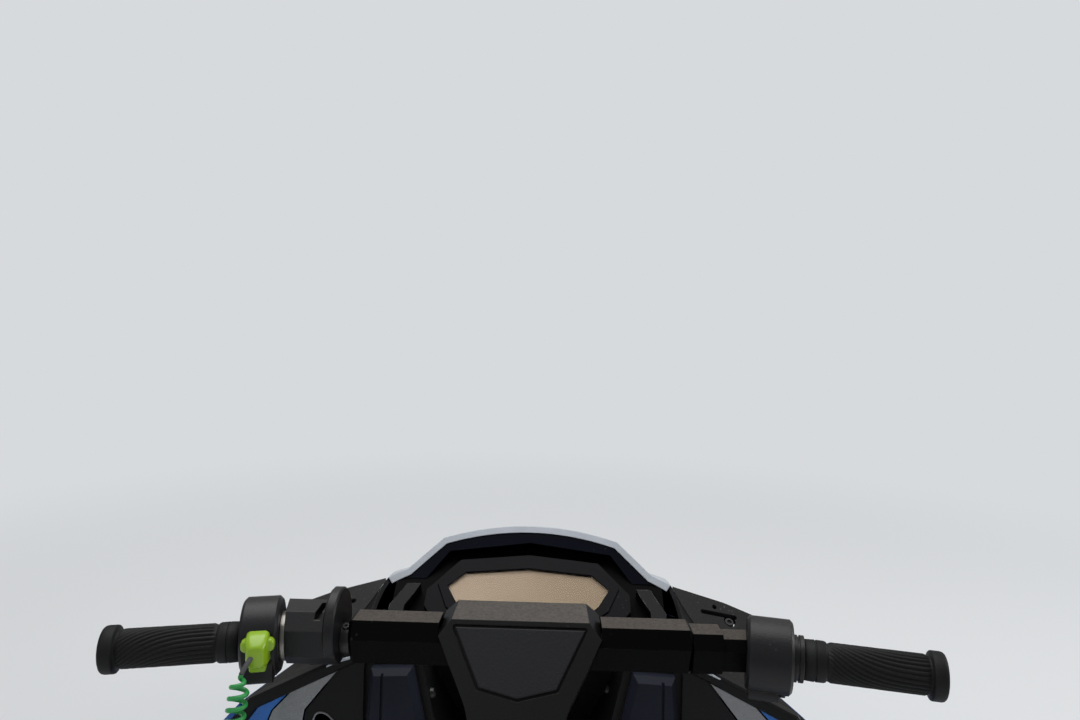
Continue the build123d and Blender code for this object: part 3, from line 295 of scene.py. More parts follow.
edge_group.links.new(maths(edge_group, "MULTIPLY", broken, given.outputs["Wear and highlight"]), result.inputs["Mask"])
edge_group.links.new(rounded.outputs["Normal"], result.inputs["Normal"])
print("group:", edge_group.name)

# %% Pebbled grain of moulded plastic
TONE_SCALE = 14.0
grain_group, given, result = new_group(
    "Moulded grain", [("Scale", 900.0)], [("Height", "Float"), ("Tone", "Float")]
)
cells = texture(grain_group, "Voronoi", (), {"feature": "SMOOTH_F1"}, {"Scale": given.outputs["Scale"]})
drift = texture(grain_group, "Noise", {"Scale": TONE_SCALE, "Detail": 5.0, "Roughness": 0.6})
grain_group.links.new(cells.outputs["Distance"], result.inputs["Height"])
grain_group.links.new(drift.outputs["Fac"], result.inputs["Tone"])
print("group:", grain_group.name)

# %% Metal flake and painted warm light on tops
FLAKE_SCALE, FLAKE_RANGE = 3200.0, (0.55, 1.0)
flake_group, _, result = new_group("Metal flake", [], [("Mask", "Float")])
grains = texture(flake_group, "Voronoi", {"Scale": FLAKE_SCALE})
bright = ramp(flake_group, channel(flake_group, grains.outputs["Color"], "Green"), *FLAKE_RANGE)
flake_group.links.new(bright, result.inputs["Mask"])

BLOTCH_SCALE, BLOTCH_RANGE, TOP_RANGE = 340.0, (-0.1, 0.8), (0.75, 0.99)
# painted warm light on the up-facing tops, broken into blotches
top_light_group, _, result = new_group("Painted warm top light", [], [("Mask", "Float")])
blotches = texture(top_light_group, "Noise", {"Scale": BLOTCH_SCALE, "Detail": 4.0, "Roughness": 0.7})
uneven = ramp(top_light_group, blotches.outputs["Fac"], *BLOTCH_RANGE)
lit_tops = maths(top_light_group, "MULTIPLY", facing_up(top_light_group, *TOP_RANGE), uneven)
top_light_group.links.new(lit_tops, result.inputs["Mask"])
print("groups:", flake_group.name, "and", top_light_group.name)

# %% Dried salt: drops in clusters, and a dull film between them
CLUSTER_SCALE, CLUSTER_RANGE, SALTED_RANGE = 9.0, (0.48, 0.75), (-0.1, 0.9)
DROP_SCALE, DROP_RANGE, RIM_RANGE = 230.0, (0.6, 0.95), (0.34, 0.14)
salt_group, given, result = new_group(
    "Salt marks", [("Amount", 0.5)], [("Spots", "Float"), ("Film", "Float")]
)
drops = texture(salt_group, "Voronoi", {"Scale": DROP_SCALE, "Randomness": 1.0})
clusters = texture(salt_group, "Noise", {"Scale": CLUSTER_SCALE, "Detail": 6.0})
in_cluster = ramp(salt_group, clusters.outputs["Fac"], *CLUSTER_RANGE)
where = maths(salt_group, "MULTIPLY", in_cluster, facing_up(salt_group, *SALTED_RANGE))
few = ramp(salt_group, channel(salt_group, drops.outputs["Color"], "Red"), *DROP_RANGE)
dot = maths(salt_group, "MULTIPLY", ramp(salt_group, drops.outputs["Distance"], *RIM_RANGE), few)
spots = maths(salt_group, "MULTIPLY", dot, where)
for mask, output in ((spots, "Spots"), (where, "Film")):
    salt_group.links.new(maths(salt_group, "MULTIPLY", mask, given.outputs["Amount"]), result.inputs[output])
print("group:", salt_group.name)

# %% [markdown]
# ## Finishes
#
# Plastic, rubber, paint and metal are built the same way, so one function makes them all from
# a table: base colour, the colour of the worn corners, which on some parts is a painted
# highlight, roughness, grain, and what differs from the usual, such as painted warm light on
# tops. What changes over a surface goes through nodes, and what is the same all over is set on
# the shader.

# %% Function for moulded and painted finishes
TOP_LIGHT_COLOR = (0.125, 0.108, 0.095)
SALT_COLOR = (0.55, 0.56, 0.56)
COAT_ROUGHNESS = 0.05
DARK_PATCHES = 0.86  # share of the base colour in its darkest patches
TONE_RANGE = (0.3, 0.7)
ROUGHNESS_SPREAD = 0.12
SALT_DULLS = 0.3
GRAIN_HEIGHT = 0.0004


def moulded(
    name, color, wear_and_highlight_color, rough, grain, grain_scale=900.0, coat=0.0, metallic=0.0, specular=0.5,
    radius=0.0012, wear_and_highlight=0.5, salt=0.15, painted_top_light=0.0, flake=0.0,
):
    """Plastic, paint or metal with grain, softened corners with wear and painted highlights, salt and painted
    top light
    """
    material, tree, shader = new_material(name, {
        "Metallic": metallic, "Specular IOR Level": specular,
        "Coat Weight": coat, "Coat Roughness": COAT_ROUGHNESS,
    })

    def group(group_tree, values=()):
        return add_node(tree, "ShaderNodeGroup", {"node_tree": group_tree}, values)

    edges = group(edge_group, {"Radius": radius, "Wear and highlight": wear_and_highlight})
    pebbles = group(grain_group, {"Scale": grain_scale})
    marks = group(salt_group, {"Amount": salt})
    darker = tuple(DARK_PATCHES * c for c in color)
    toned = mixed(tree, ramp(tree, pebbles.outputs["Tone"], *TONE_RANGE), darker, color)
    # metal flake, and painted warm light on the up-facing tops
    for effect, amount, shade in ((flake_group, flake, wear_and_highlight_color), (top_light_group, painted_top_light, TOP_LIGHT_COLOR)):
        if amount:
            toned = mixed(tree, maths(tree, "MULTIPLY", group(effect).outputs["Mask"], amount), toned, shade)
    # the corners' colour: wear, and on some parts a painted highlight
    edged = mixed(tree, edges.outputs["Mask"], toned, wear_and_highlight_color)
    tree.links.new(mixed(tree, marks.outputs["Spots"], edged, SALT_COLOR), shader.inputs["Base Color"])
    lowest = rough - ROUGHNESS_SPREAD / 2
    tone = maths(tree, "MULTIPLY_ADD", pebbles.outputs["Tone"], ROUGHNESS_SPREAD, lowest)
    dulled = maths(tree, "MULTIPLY_ADD", marks.outputs["Film"], SALT_DULLS, tone)
    tree.links.new(dulled, shader.inputs["Roughness"])
    bump = add_node(
        tree, "ShaderNodeBump", values={"Strength": grain, "Distance": GRAIN_HEIGHT},
        links={"Height": pebbles.outputs["Height"], "Normal": edges.outputs["Normal"]},
    )
    tree.links.new(bump.outputs["Normal"], shader.inputs["Normal"])
    return material


# %% Table of finishes
# columns: finish, colour, worn colour, roughness, grain, then what differs from the usual
# on some parts the worn colour is a painted highlight, and some get warm light painted on tops
FINISHES = [
    ("black_matte", (0.0045, 0.0045, 0.0052), (0.04, 0.04, 0.04), 0.5, 0.35,
     {"painted_top_light": 0.18, "specular": 0.22}),
    ("dark_grey", (0.0095, 0.0095, 0.0105), (0.05, 0.05, 0.05), 0.46, 0.3,
     {"painted_top_light": 0.2, "specular": 0.25}),
    ("black_gloss", (0.0008, 0.0018, 0.0075), (0.02, 0.02, 0.025), 0.24, 0.02,
     {"coat": 0.14, "salt": 0.25, "specular": 0.12}),
    ("white_gloss", (0.60, 0.64, 0.70), (0.45, 0.46, 0.47), 0.38, 0.02,
     {"coat": 0.2, "wear_and_highlight": 0.25, "salt": 0.03}),
    ("blue_gloss", (0.0, 0.125, 0.53), (0.02, 0.40, 0.95), 0.32, 0.02,
     {"coat": 0.5, "wear_and_highlight": 0.15, "flake": 0.3, "salt": 0.06, "specular": 0.3}),
    ("silver_satin", (0.20, 0.205, 0.215), (0.5, 0.51, 0.53), 0.36, 0.03,
     {"metallic": 0.5, "coat": 0.5, "flake": 0.5}),
    ("black_metal", (0.012, 0.012, 0.013), (0.25, 0.25, 0.25), 0.36, 0.1,
     {"wear_and_highlight": 0.8, "radius": 0.0004}),
    ("bare_aluminium", (0.30, 0.285, 0.26), (0.6, 0.6, 0.58), 0.32, 0.1,
     {"metallic": 1.0}),
    ("grip_rubber", (0.0048, 0.0048, 0.0054), (0.025, 0.025, 0.025), 0.6, 0.3,
     {"wear_and_highlight": 0.3, "radius": 0.0004, "specular": 0.3}),
    ("green_plastic", (0.33, 0.56, 0.015), (0.5, 0.72, 0.2), 0.32, 0.05,
     {"salt": 0.1, "coat": 0.2}),
    ("green_cord", (0.035, 0.36, 0.085), (0.2, 0.6, 0.25), 0.34, 0.05,
     {"salt": 0.0, "radius": 0.0003}),
]
# the same columns, for single parts that differ from others of their slot
PART_FINISHES = [
    ("pad_skin", (0.0125, 0.0125, 0.0150), (0.05, 0.05, 0.055), 0.58, 0.6,
     {"grain_scale": 600.0, "specular": 0.3, "wear_and_highlight": 0.2}),
    # a painted copper highlight on the corners, and strong warm light painted on the tops
    ("cover_skin", (0.0050, 0.0050, 0.0054), (0.09, 0.075, 0.06), 0.45, 0.3,
     {"painted_top_light": 0.9, "specular": 0.22}),
    # the same painted copper highlight on the corners, and strong painted warm light on the tops
    ("wing_skin", (0.0012, 0.0012, 0.0014), (0.09, 0.075, 0.06), 0.5, 0.3,
     {"painted_top_light": 0.9, "specular": 0.06}),
    ("bezel_skin", (0.0034, 0.0034, 0.0048), (0.02, 0.02, 0.024), 0.42, 0.2,
     {"specular": 0.06, "salt": 0.04}),
    # darker than the other black plastics: painted shade in the recess under the visor
    ("recess_skin", (0.0010, 0.0010, 0.0012), (0.01, 0.01, 0.011), 0.6, 0.2,
     {"specular": 0.05, "salt": 0.0}),
    # the copper worn colour is a painted copper highlight along the housings' edges
    ("drum_skin", (0.0060, 0.0060, 0.0075), (0.11, 0.085, 0.06), 0.42, 0.3,
     {"painted_top_light": 0.2, "specular": 0.35, "wear_and_highlight": 0.9}),
    ("lead_skin", (0.085, 0.086, 0.090), (0.2, 0.2, 0.2), 0.42, 0.1,
     {"salt": 0.0, "radius": 0.0003}),
    # the pale worn colour, on every corner, is a painted highlight along the pillars' edges
    ("pillar_skin", (0.0050, 0.0050, 0.0060), (0.5, 0.46, 0.40), 0.4, 0.2,
     {"wear_and_highlight": 1.0, "radius": 0.0009, "specular": 0.12}),
    ("knee_skin", (0.0210, 0.0235, 0.0350), (0.03, 0.03, 0.036), 0.36, 0.02,
     {"coat": 0.02, "specular": 0.04}),
]
finishes = {}
for name, color, wear_and_highlight_color, rough, grain, extra in FINISHES + PART_FINISHES:
    finishes[name] = moulded(name, color, wear_and_highlight_color, rough, grain, **extra)
print("moulded finishes:", len(finishes))

# %% Screen: lit from the left, with fine lines of pixels
LCD_LEFT, LCD_RIGHT, LCD_LINES = (0.425, 0.325, 0.240), (0.317, 0.236, 0.161), (0.29, 0.22, 0.15)
LCD_SPAN = (-0.09, 0.07)
PIXELS_PER_METRE = (("X", 4200), ("Z", 5200))
LINE_RANGE = (0.2, 4.5)  # the lines stay faint, as the pixels' wave ends at 1
lcd, tree, shader = new_material("screen", {"Roughness": 0.6, "Specular IOR Level": 0.05})
place = add_node(tree, "ShaderNodeSeparateXYZ", links={"Vector": object_place(tree)})
backing = mixed(tree, ramp(tree, place.outputs["X"], *LCD_SPAN), LCD_LEFT, LCD_RIGHT)
waves = [
    maths(tree, "SINE", maths(tree, "MULTIPLY", place.outputs[axis], tau * count))
    for axis, count in PIXELS_PER_METRE
]
lines = ramp(tree, maths(tree, "MULTIPLY", *waves), *LINE_RANGE)
tree.links.new(mixed(tree, lines, backing, LCD_LINES), shader.inputs["Base Color"])
finishes["screen"] = lcd

# %% Woven strap
THREAD_DARK, THREAD_LIGHT = (0.006, 0.006, 0.007), (0.030, 0.030, 0.033)
WEAVE_RANGE = (-0.9, 0.9)
WEAVE_BUMP = {"Strength": 0.7, "Distance": 0.0004}
strap, tree, shader = new_material("strap_fabric", {"Roughness": 0.82, "Sheen Weight": 0.25})
threads = add_node(tree, "ShaderNodeUVMap")
place = add_node(tree, "ShaderNodeSeparateXYZ", links={"Vector": threads.outputs["UV"]})
waves = [maths(tree, "SINE", maths(tree, "MULTIPLY", place.outputs[axis], tau)) for axis in "XY"]
weave = maths(tree, "MULTIPLY", *waves)
woven = mixed(tree, ramp(tree, weave, *WEAVE_RANGE), THREAD_DARK, THREAD_LIGHT)
tree.links.new(woven, shader.inputs["Base Color"])
bump = add_node(tree, "ShaderNodeBump", values=WEAVE_BUMP, links={"Height": weave})
tree.links.new(bump.outputs["Normal"], shader.inputs["Normal"])
finishes["strap_fabric"] = strap

# %% Cover glass, and every CAD node gets its finish
# its low index stands for a coat that keeps the lamps' reflections out of the glass
glass, _, _ = new_material("cover_glass", {
    "Base Color": (0.97, 0.97, 0.95, 1.0), "Transmission Weight": 1.0, "Roughness": 0.04, "IOR": 1.12,
})
finishes["cover_glass"] = glass
OWN_FINISH = {
    "bar_collar": "black_metal",
    "visor_pillar_left": "pillar_skin",
    "visor_pillar_right": "pillar_skin",
    "cover_pad": "pad_skin",
    "cover_frame": "cover_skin",
    "cover_wing_left": "wing_skin",
    "cover_wing_right": "wing_skin",
    "throttle_sleeve": "wing_skin",
    "display_bezel": "bezel_skin",
    "display_housing": "bezel_skin",
    "recess_panel": "recess_skin",
    "switch_housing": "drum_skin",
    "throttle_housing": "drum_skin",
    "lever_housing": "drum_skin",
    "knee_pad_left": "knee_skin",
    "knee_pad_right": "knee_skin",
}
for entry in frame["record"]["subparts"]:
    node = nodes[entry["node"]]
    node.data.materials.clear()
    node.data.materials.append(finishes[OWN_FINISH.get(entry["node"], entry["material_slot"])])
print("finishes:", len(finishes))

# %% [markdown]
# ## Curly lanyard
#
# The stop-switch lanyard is a cord set into a helix, like a telephone lead. Its middle line is
# a smooth spline that hangs from the clip. The helix is computed around points read from that
# spline, with two directions square to it carried along so the turns never twist, and both
# ends run in to the middle, where the cord enters its fittings.

# %% Lines that cords follow
LEAD_ROUTE = [(-0.2270, -0.1919, 0.306), (-0.2295, -0.2009, 0.302), (-0.2325, -0.2089, 0.294)]
COIL_ROUTE = [
    (-0.2325, -0.2089, 0.294),
    (-0.2340, -0.2199, 0.260),
    (-0.2370, -0.2299, 0.216),
    (-0.2400, -0.2339, 0.172),
    (-0.2420, -0.2349, 0.128),
    (-0.2420, -0.2359, 0.080),
]
LEAD_DIAMETER = 0.0044
CORD_DIAMETER = 0.0040
COIL_DIAMETER = 0.0176
COIL_PITCH = 0.0092
STEPS_PER_TURN = 28
RUN_IN_TURNS = 1.25


def spline_points(route, resolution=24):
    """Points of the smooth NURBS line through a route, read from a curve with no bevel"""
    curve = bpy.data.curves.new("middle_line", "CURVE")
    curve.dimensions = "3D"
    curve.resolution_u = resolution
    spline = curve.splines.new("NURBS")
    spline.points.add(len(route) - 1)
    for point, place in zip(spline.points, route):
        point.co = (*place, 1.0)
    spline.order_u = 3
    spline.use_endpoint_u = True
    holder = add_object("middle_line", curve)
    mesh = bpy.data.meshes.new_from_object(holder.evaluated_get(bpy.context.evaluated_depsgraph_get()))
    points = [vertex.co.copy() for vertex in mesh.vertices]
    bpy.data.objects.remove(holder)
    bpy.data.meshes.remove(mesh)
    return points


def along(points, spacing):
    """Evenly spaced points on a line, each with the line's direction there"""
    places, travelled, target = [], 0.0, 0.0
    for start, end in zip(points, points[1:]):
        run = (end - start).length
        while target <= travelled + run:
            places.append((start.lerp(end, (target - travelled) / run), (end - start).normalized()))
            target += spacing
        travelled += run
    return places


def frames(places):
    """Side direction at each place, carried along the line without twist"""
    side = places[0][1].orthogonal().normalized()
    sides = []
    for _, direction in places:
        side = (side - direction * side.dot(direction)).normalized()
        sides.append(side.copy())
    return sides


def line_length(points):
    """Length of a line of points"""
    return sum((b - a).length for a, b in zip(points, points[1:]))


# %% Turns of the helix
middle = spline_points(COIL_ROUTE)
places = along(middle, COIL_PITCH / STEPS_PER_TURN)
wind_radius = (COIL_DIAMETER - CORD_DIAMETER) / 2
helix = []
for step, ((point, direction), side) in enumerate(zip(places, frames(places))):
    from_end = min(step, len(places) - 1 - step)
    share = min(1.0, from_end / (RUN_IN_TURNS * STEPS_PER_TURN))
    reach = wind_radius * share * share * (3 - 2 * share)
    angle = tau * step / STEPS_PER_TURN
    helix.append(point + reach * (cos(angle) * side + sin(angle) * direction.cross(side)))
lead_line = spline_points(LEAD_ROUTE)
print("turns:", round(len(places) / STEPS_PER_TURN, 1), "cord (m):", round(line_length(helix), 3))

# %% Tubes, lathe work and pieces that ride on a body
CRISP, SOFT, ROUND = 35.0, 50.0, 60.0  # corners sharper than this stay so (degrees)


def carried(piece, body):
    """The piece, riding on a body"""
    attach(piece, body)
    return piece


def new_piece(name, mesh, finish, body):
    """Object at the origin with its finish, riding on a body"""
    mesh.materials.clear()
    mesh.materials.append(finishes[finish])
    return carried(add_object(name, mesh), body)


def smooth(mesh, angle):
    """Smooth shading that keeps corners sharper than an angle"""
    for polygon in mesh.polygons:
        polygon.use_smooth = True
    mesh.set_sharp_from_angle(angle=radians(angle))


def finished_mesh(name, mesh, angle):
    """Plain mesh out of a bmesh, with outward normals and smooth shading"""
    bmesh.ops.recalc_face_normals(mesh, faces=mesh.faces)
    made = bpy.data.meshes.new(name)
    mesh.to_mesh(made)
    mesh.free()
    smooth(made, angle)
    return made


def bridge(mesh, lower, upper):
    """Faces between two rings; a ring of one point is a tip"""
    for k in range(max(len(lower), len(upper))):
        below = [lower[step % len(lower)] for step in (k, k + 1)]
        above = [upper[step % len(upper)] for step in (k + 1, k)]
        mesh.faces.new(list(dict.fromkeys(below + above)))


def stacked(name, point_rings, angle=CRISP):
    """Closed mesh over a stack of rings of points"""
    mesh = bmesh.new()
    rings = [[mesh.verts.new(point) for point in ring] for ring in point_rings]
    for lower, upper in zip(rings, rings[1:]):
        bridge(mesh, lower, upper)
    for ring in (rings[0][::-1], rings[-1]):
        if len(ring) > 1:
            mesh.faces.new(ring)
    return finished_mesh(name, mesh, angle)


def tube_mesh(name, line, radii, sides=12):
    """Closed tube along a line of points, with a radius for each point"""
    steps = [(b - a).normalized() for a, b in zip(line, line[1:])]
    places = list(zip(line, steps + steps[-1:]))
    angles = [tau * k / sides for k in range(sides)]
    rings = []
    for (point, direction), side, radius in zip(places, frames(places), radii):
        up = direction.cross(side)
        rings.append([point + radius * (cos(a) * side + sin(a) * up) for a in angles])
    return stacked(name, rings)


def lathe(name, profile, sides):
    """Closed round mesh about Z from a profile of (height, radius)"""
    angles = [tau * k / sides for k in range(sides)]
    rings = [[(r * cos(a), r * sin(a), z) for a in angles] if r else [(0, 0, z)] for z, r in profile]
    return stacked(name, rings)


# %% Coiled cord and the lead it hangs from
LEAD_END_LIP = 0.00005  # of the lead over the cord that goes into it
coil_radii = [CORD_DIAMETER / 2] * len(helix)
coil = new_piece("lanyard_curl", tube_mesh("lanyard_curl", helix, coil_radii), "green_cord", "handlebar")
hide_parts("lanyard_coil")
lead_radii = [LEAD_DIAMETER / 2] * (len(lead_line) - 1) + [CORD_DIAMETER / 2 + LEAD_END_LIP]
lead_mesh = tube_mesh("lanyard_lead", lead_line, lead_radii, sides=16)
lead = new_piece("lanyard_lead", lead_mesh, "lead_skin", "handlebar")
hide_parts("lanyard_sleeve")
print("cord faces:", len(coil.data.polygons), "lead faces:", len(lead.data.polygons))

# %% [markdown]
# ## Wrist strap
#
# The rider wears the lanyard's other end. It is a flat woven strap closed into a loop and
# stitched, with a moulded ferrule that holds the cord. The loop is a rounded strap section
# carried round an ellipse. Its UVs count threads, so the weave keeps one size all round, and
# Geometry Nodes lay the stitches along both edges.

# %% Strap loop
STRAP_CENTRE = Vector((-0.2420, -0.2359, 0.034))
STRAP_REACH = (0.0244, 0.0318)
STRAP_WIDTH = 0.0156
STRAP_THICK = 0.0026
STRAP_STEPS = 96
THREADS_PER_METRE = 900
# columns: share of half the width, share of half the thickness
STRAP_SECTION = [(-0.94, 0.7), (-0.8, 1), (-0.4, 1), (0, 1), (0.4, 1), (0.8, 1), (0.94, 0.7), (1, 0)]
STRAP_SECTION += [(across, -lift) for across, lift in reversed(STRAP_SECTION[:-1])] + [(-1, 0)]


def strap_point(angle, across, lift):
    """Point on the loop: angle round it, distance across its width and out from its middle line"""
    wide, tall = STRAP_REACH
    middle_point = Vector((wide * cos(angle), 0, tall * sin(angle)))
    outward = Vector((cos(angle) / wide, 0, sin(angle) / tall)).normalized()
    return STRAP_CENTRE + middle_point + lift * outward + Vector((0, across, 0))


strap_bm = bmesh.new()
thread_uv = strap_bm.loops.layers.uv.new("UVMap")
loop_length = tau * ((STRAP_REACH[0] + STRAP_REACH[1]) / 2)
strap_rings = []
for step in range(STRAP_STEPS):
    angle = tau * step / STRAP_STEPS
    section = [strap_point(angle, a * STRAP_WIDTH / 2, t * STRAP_THICK / 2) for a, t in STRAP_SECTION]
    strap_rings.append([strap_bm.verts.new(point) for point in section])
for step in range(STRAP_STEPS):
    ring, after = strap_rings[step], strap_rings[(step + 1) % STRAP_STEPS]
    for k in range(len(STRAP_SECTION)):
        following = (k + 1) % len(STRAP_SECTION)
        face = strap_bm.faces.new((ring[k], ring[following], after[following], after[k]))
        ends = ((step, k), (step, following), (step + 1, following), (step + 1, k))
        for loop, (turn_step, corner) in zip(face.loops, ends):
            run = loop_length * turn_step / STRAP_STEPS
            across = STRAP_SECTION[corner][0] * STRAP_WIDTH / 2
            loop[thread_uv].uv = (run * THREADS_PER_METRE, across * THREADS_PER_METRE)
strap_mesh = finished_mesh("wrist_strap", strap_bm, ROUND)
wrist_strap = new_piece("wrist_strap", strap_mesh, "strap_fabric", "handlebar")
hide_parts("lanyard_wristband")
print("strap faces:", len(wrist_strap.data.polygons))

# %% Ferrule between cord and strap
# columns: height in the frame, radius (m)
FERRULE_PROFILE = [
    (0.0648, 0.0), (0.0648, 0.0042), (0.0656, 0.0050), (0.0695, 0.0050), (0.0698, 0.0044),
    (0.0708, 0.0044), (0.0711, 0.0050), (0.0722, 0.0050), (0.0725, 0.0044), (0.0735, 0.0044),
    (0.0738, 0.0050), (0.0765, 0.0046), (0.0795, 0.0030), (0.0806, 0.0026), (0.0806, 0.0),
]
ferrule_mesh = lathe("strap_ferrule", FERRULE_PROFILE, sides=40)
ferrule_mesh.transform(Matrix.Translation((STRAP_CENTRE.x, STRAP_CENTRE.y, 0)))
ferrule = new_piece("strap_ferrule", ferrule_mesh, "black_matte", "handlebar")
print("ferrule faces:", len(ferrule.data.polygons))

# %% [markdown]
# ## Node trees for what repeats
#
# Screws, stitches and ribs repeat, so each has one Geometry Nodes tree. A tree makes a single
# screw or stitch and puts a copy at every place, or pushes ribs out of a surface. It ends in
# plain geometry with its material, which is then kept as an ordinary mesh.

# %% Helpers for geometry trees


def new_tree(name, inputs):
    """Geometry node tree with named inputs; gives its end nodes and the inputs' identifiers"""
    tree = bpy.data.node_groups.new(name, "GeometryNodeTree")
    tree.interface.new_socket("Geometry", in_out="INPUT", socket_type="NodeSocketGeometry")
    identifiers = {}
    for socket_name, kind in inputs:
        socket = tree.interface.new_socket(socket_name, in_out="INPUT", socket_type="NodeSocket" + kind)
        identifiers[socket_name] = socket.identifier
    tree.interface.new_socket("Geometry", in_out="OUTPUT", socket_type="NodeSocketGeometry")
    return tree, tree.nodes.new("NodeGroupInput"), tree.nodes.new("NodeGroupOutput"), identifiers


def end_tree(tree, geometry, given, result):
    """Real geometry with the tree's Finish on it, as the tree's result"""
    real = add_node(tree, "GeometryNodeRealizeInstances", links={"Geometry": geometry})
    inputs = {"Geometry": real.outputs[0], "Material": given.outputs["Finish"]}
    tree.links.new(add_node(tree, "GeometryNodeSetMaterial", links=inputs).outputs[0], result.inputs[0])


def apply_tree(piece, tree, identifiers, values):
    """Evaluates a node tree on a piece and keeps the result as its plain mesh"""
    modifier = piece.modifiers.new(tree.name, "NODES")
    modifier.node_group = tree
    for socket_name, value in values.items():
        modifier[identifiers[socket_name]] = value
    evaluated = piece.evaluated_get(bpy.context.evaluated_depsgraph_get())
    mesh = bpy.data.meshes.new_from_object(evaluated)
    piece.modifiers.remove(modifier)
    piece.data = mesh
    return mesh


def seed_piece(name, vertices, edges=()):
    """Object that holds only the points or edges that a tree works from"""
    mesh = bpy.data.meshes.new(name)
    mesh.from_pydata([tuple(v) for v in vertices], list(edges), [])
    return add_object(name, mesh)


def copies(tree, points, item, toward, **scale):
    """Copies of a mesh at the points, each with its Z turned toward a direction"""
    turned = add_node(tree, "FunctionNodeAlignRotationToVector", {"axis": "Z"}, links={"Vector": toward})
    placed = {"Points": points, "Instance": item, "Rotation": turned.outputs[0], **scale}
    return add_node(tree, "GeometryNodeInstanceOnPoints", links=placed).outputs[0]


# %% Stitches along a path
tree, given, result, stitch_ids = new_tree(
    "Stitches along a path",
    [("Spacing", "Float"), ("Length", "Float"), ("Thread radius", "Float"), ("Finish", "Material")],
)
path = add_node(tree, "GeometryNodeMeshToCurve", links={"Mesh": given.outputs["Geometry"]})
spaced = add_node(
    tree, "GeometryNodeResampleCurve", {"mode": "LENGTH"},
    links={"Curve": path.outputs[0], "Length": given.outputs["Spacing"]},
)
stitch = add_node(
    tree, "GeometryNodeMeshCylinder", values={"Vertices": 8},
    links={"Radius": given.outputs["Thread radius"], "Depth": given.outputs["Length"]},
)
run = add_node(tree, "GeometryNodeInputTangent")
laid = copies(tree, spaced.outputs[0], stitch.outputs["Mesh"], run.outputs[0])
end_tree(tree, laid, given, result)

SEAM_INSET = 0.0016
STITCH_SPACING, STITCH_LENGTH, THREAD_RADIUS = 0.0026, 0.0017, 0.00024
stitch_points, stitch_edges = [], []
for side in (-1, 1):
    start = len(stitch_points)
    across = side * (STRAP_WIDTH / 2 - SEAM_INSET)
    stitch_points += [strap_point(tau * k / STRAP_STEPS, across, STRAP_THICK / 2) for k in range(STRAP_STEPS)]
    stitch_edges += [(start + k, start + (k + 1) % STRAP_STEPS) for k in range(STRAP_STEPS)]
stitches = seed_piece("strap_stitches", stitch_points, stitch_edges)
apply_tree(stitches, tree, stitch_ids, {
    "Spacing": STITCH_SPACING, "Length": STITCH_LENGTH, "Thread radius": THREAD_RADIUS,
    "Finish": finishes["green_cord"],
})
carried(stitches, "handlebar")
print("stitch faces:", len(stitches.data.polygons))

# %% Socket screws at listed places
# the head is drawn one unit in radius, and each place scales it to a radius in metres
HEAD_DEPTH, HEAD_TOP_RADIUS, SOCKET_DEPTH = 0.62, 0.84, 0.7
screw_tree, given, result, screw_ids = new_tree(
    "Socket screws", [("Socket share", "Float"), ("Finish", "Material")]
)
head = add_node(screw_tree, "GeometryNodeMeshCone", values={
    "Vertices": 28, "Side Segments": 1, "Radius Top": HEAD_TOP_RADIUS, "Radius Bottom": 1.0,
    "Depth": HEAD_DEPTH,
})
socket = add_node(
    screw_tree, "GeometryNodeMeshCylinder", values={"Vertices": 6, "Depth": SOCKET_DEPTH},
    links={"Radius": given.outputs["Socket share"]},
)
raised = add_node(
    screw_tree, "GeometryNodeTransform", values={"Translation": (0, 0, HEAD_DEPTH)},
    links={"Geometry": socket.outputs["Mesh"]},
)
cut = add_node(
    screw_tree, "GeometryNodeMeshBoolean", {"operation": "DIFFERENCE"},
    links={"Mesh 1": head.outputs["Mesh"], "Mesh 2": raised.outputs[0]},
)
facing, size = (
    add_node(screw_tree, "GeometryNodeInputNamedAttribute", {"data_type": kind}, {"Name": name})
    for name, kind in (("facing", "FLOAT_VECTOR"), ("size", "FLOAT"))
)
laid = copies(
    screw_tree, given.outputs["Geometry"], cut.outputs["Mesh"], facing.outputs["Attribute"],
    Scale=size.outputs["Attribute"],
)
end_tree(screw_tree, laid, given, result)
SOCKET_SHARE = 0.5
SCREW_SEAT = 0.0003


def screws(name, body, rows):
    """Adds one mesh of screws from rows of (place, facing, head radius)"""
    piece = seed_piece(name, [place - SCREW_SEAT * toward.normalized() for place, toward, _ in rows])
    piece.data.attributes.new("facing", "FLOAT_VECTOR", "POINT")
    piece.data.attributes.new("size", "FLOAT", "POINT")
    for index, (_, toward, radius) in enumerate(rows):
        piece.data.attributes["facing"].data[index].vector = toward
        piece.data.attributes["size"].data[index].value = radius
    values = {"Socket share": SOCKET_SHARE, "Finish": finishes["black_metal"]}
    apply_tree(piece, screw_tree, screw_ids, values)
    carried(piece, body)


# %% [markdown]
# ## Grips
#
# A grip is a moulded rubber sleeve: a smooth cuff with one groove, a long field of fine ribs,
# and an end flange. Its round body is a lathe profile. The ribs follow a rule, a wave around
# the grip whose phase sweeps round at one end, so Geometry Nodes push them out of the profile.
# Both sides use the same moulding, so the sweep is at the cuff on one and the flange on the other.

# %% Lathe profile of a grip
GRIP_SWEEP = radians(12.0)
BEND = BAR_CENTRE + Vector((0.198, 0.0, 0.0))
GRIP_SIDES = 240
RIB_BASE = 0.0160
RIB_ROWS = 84
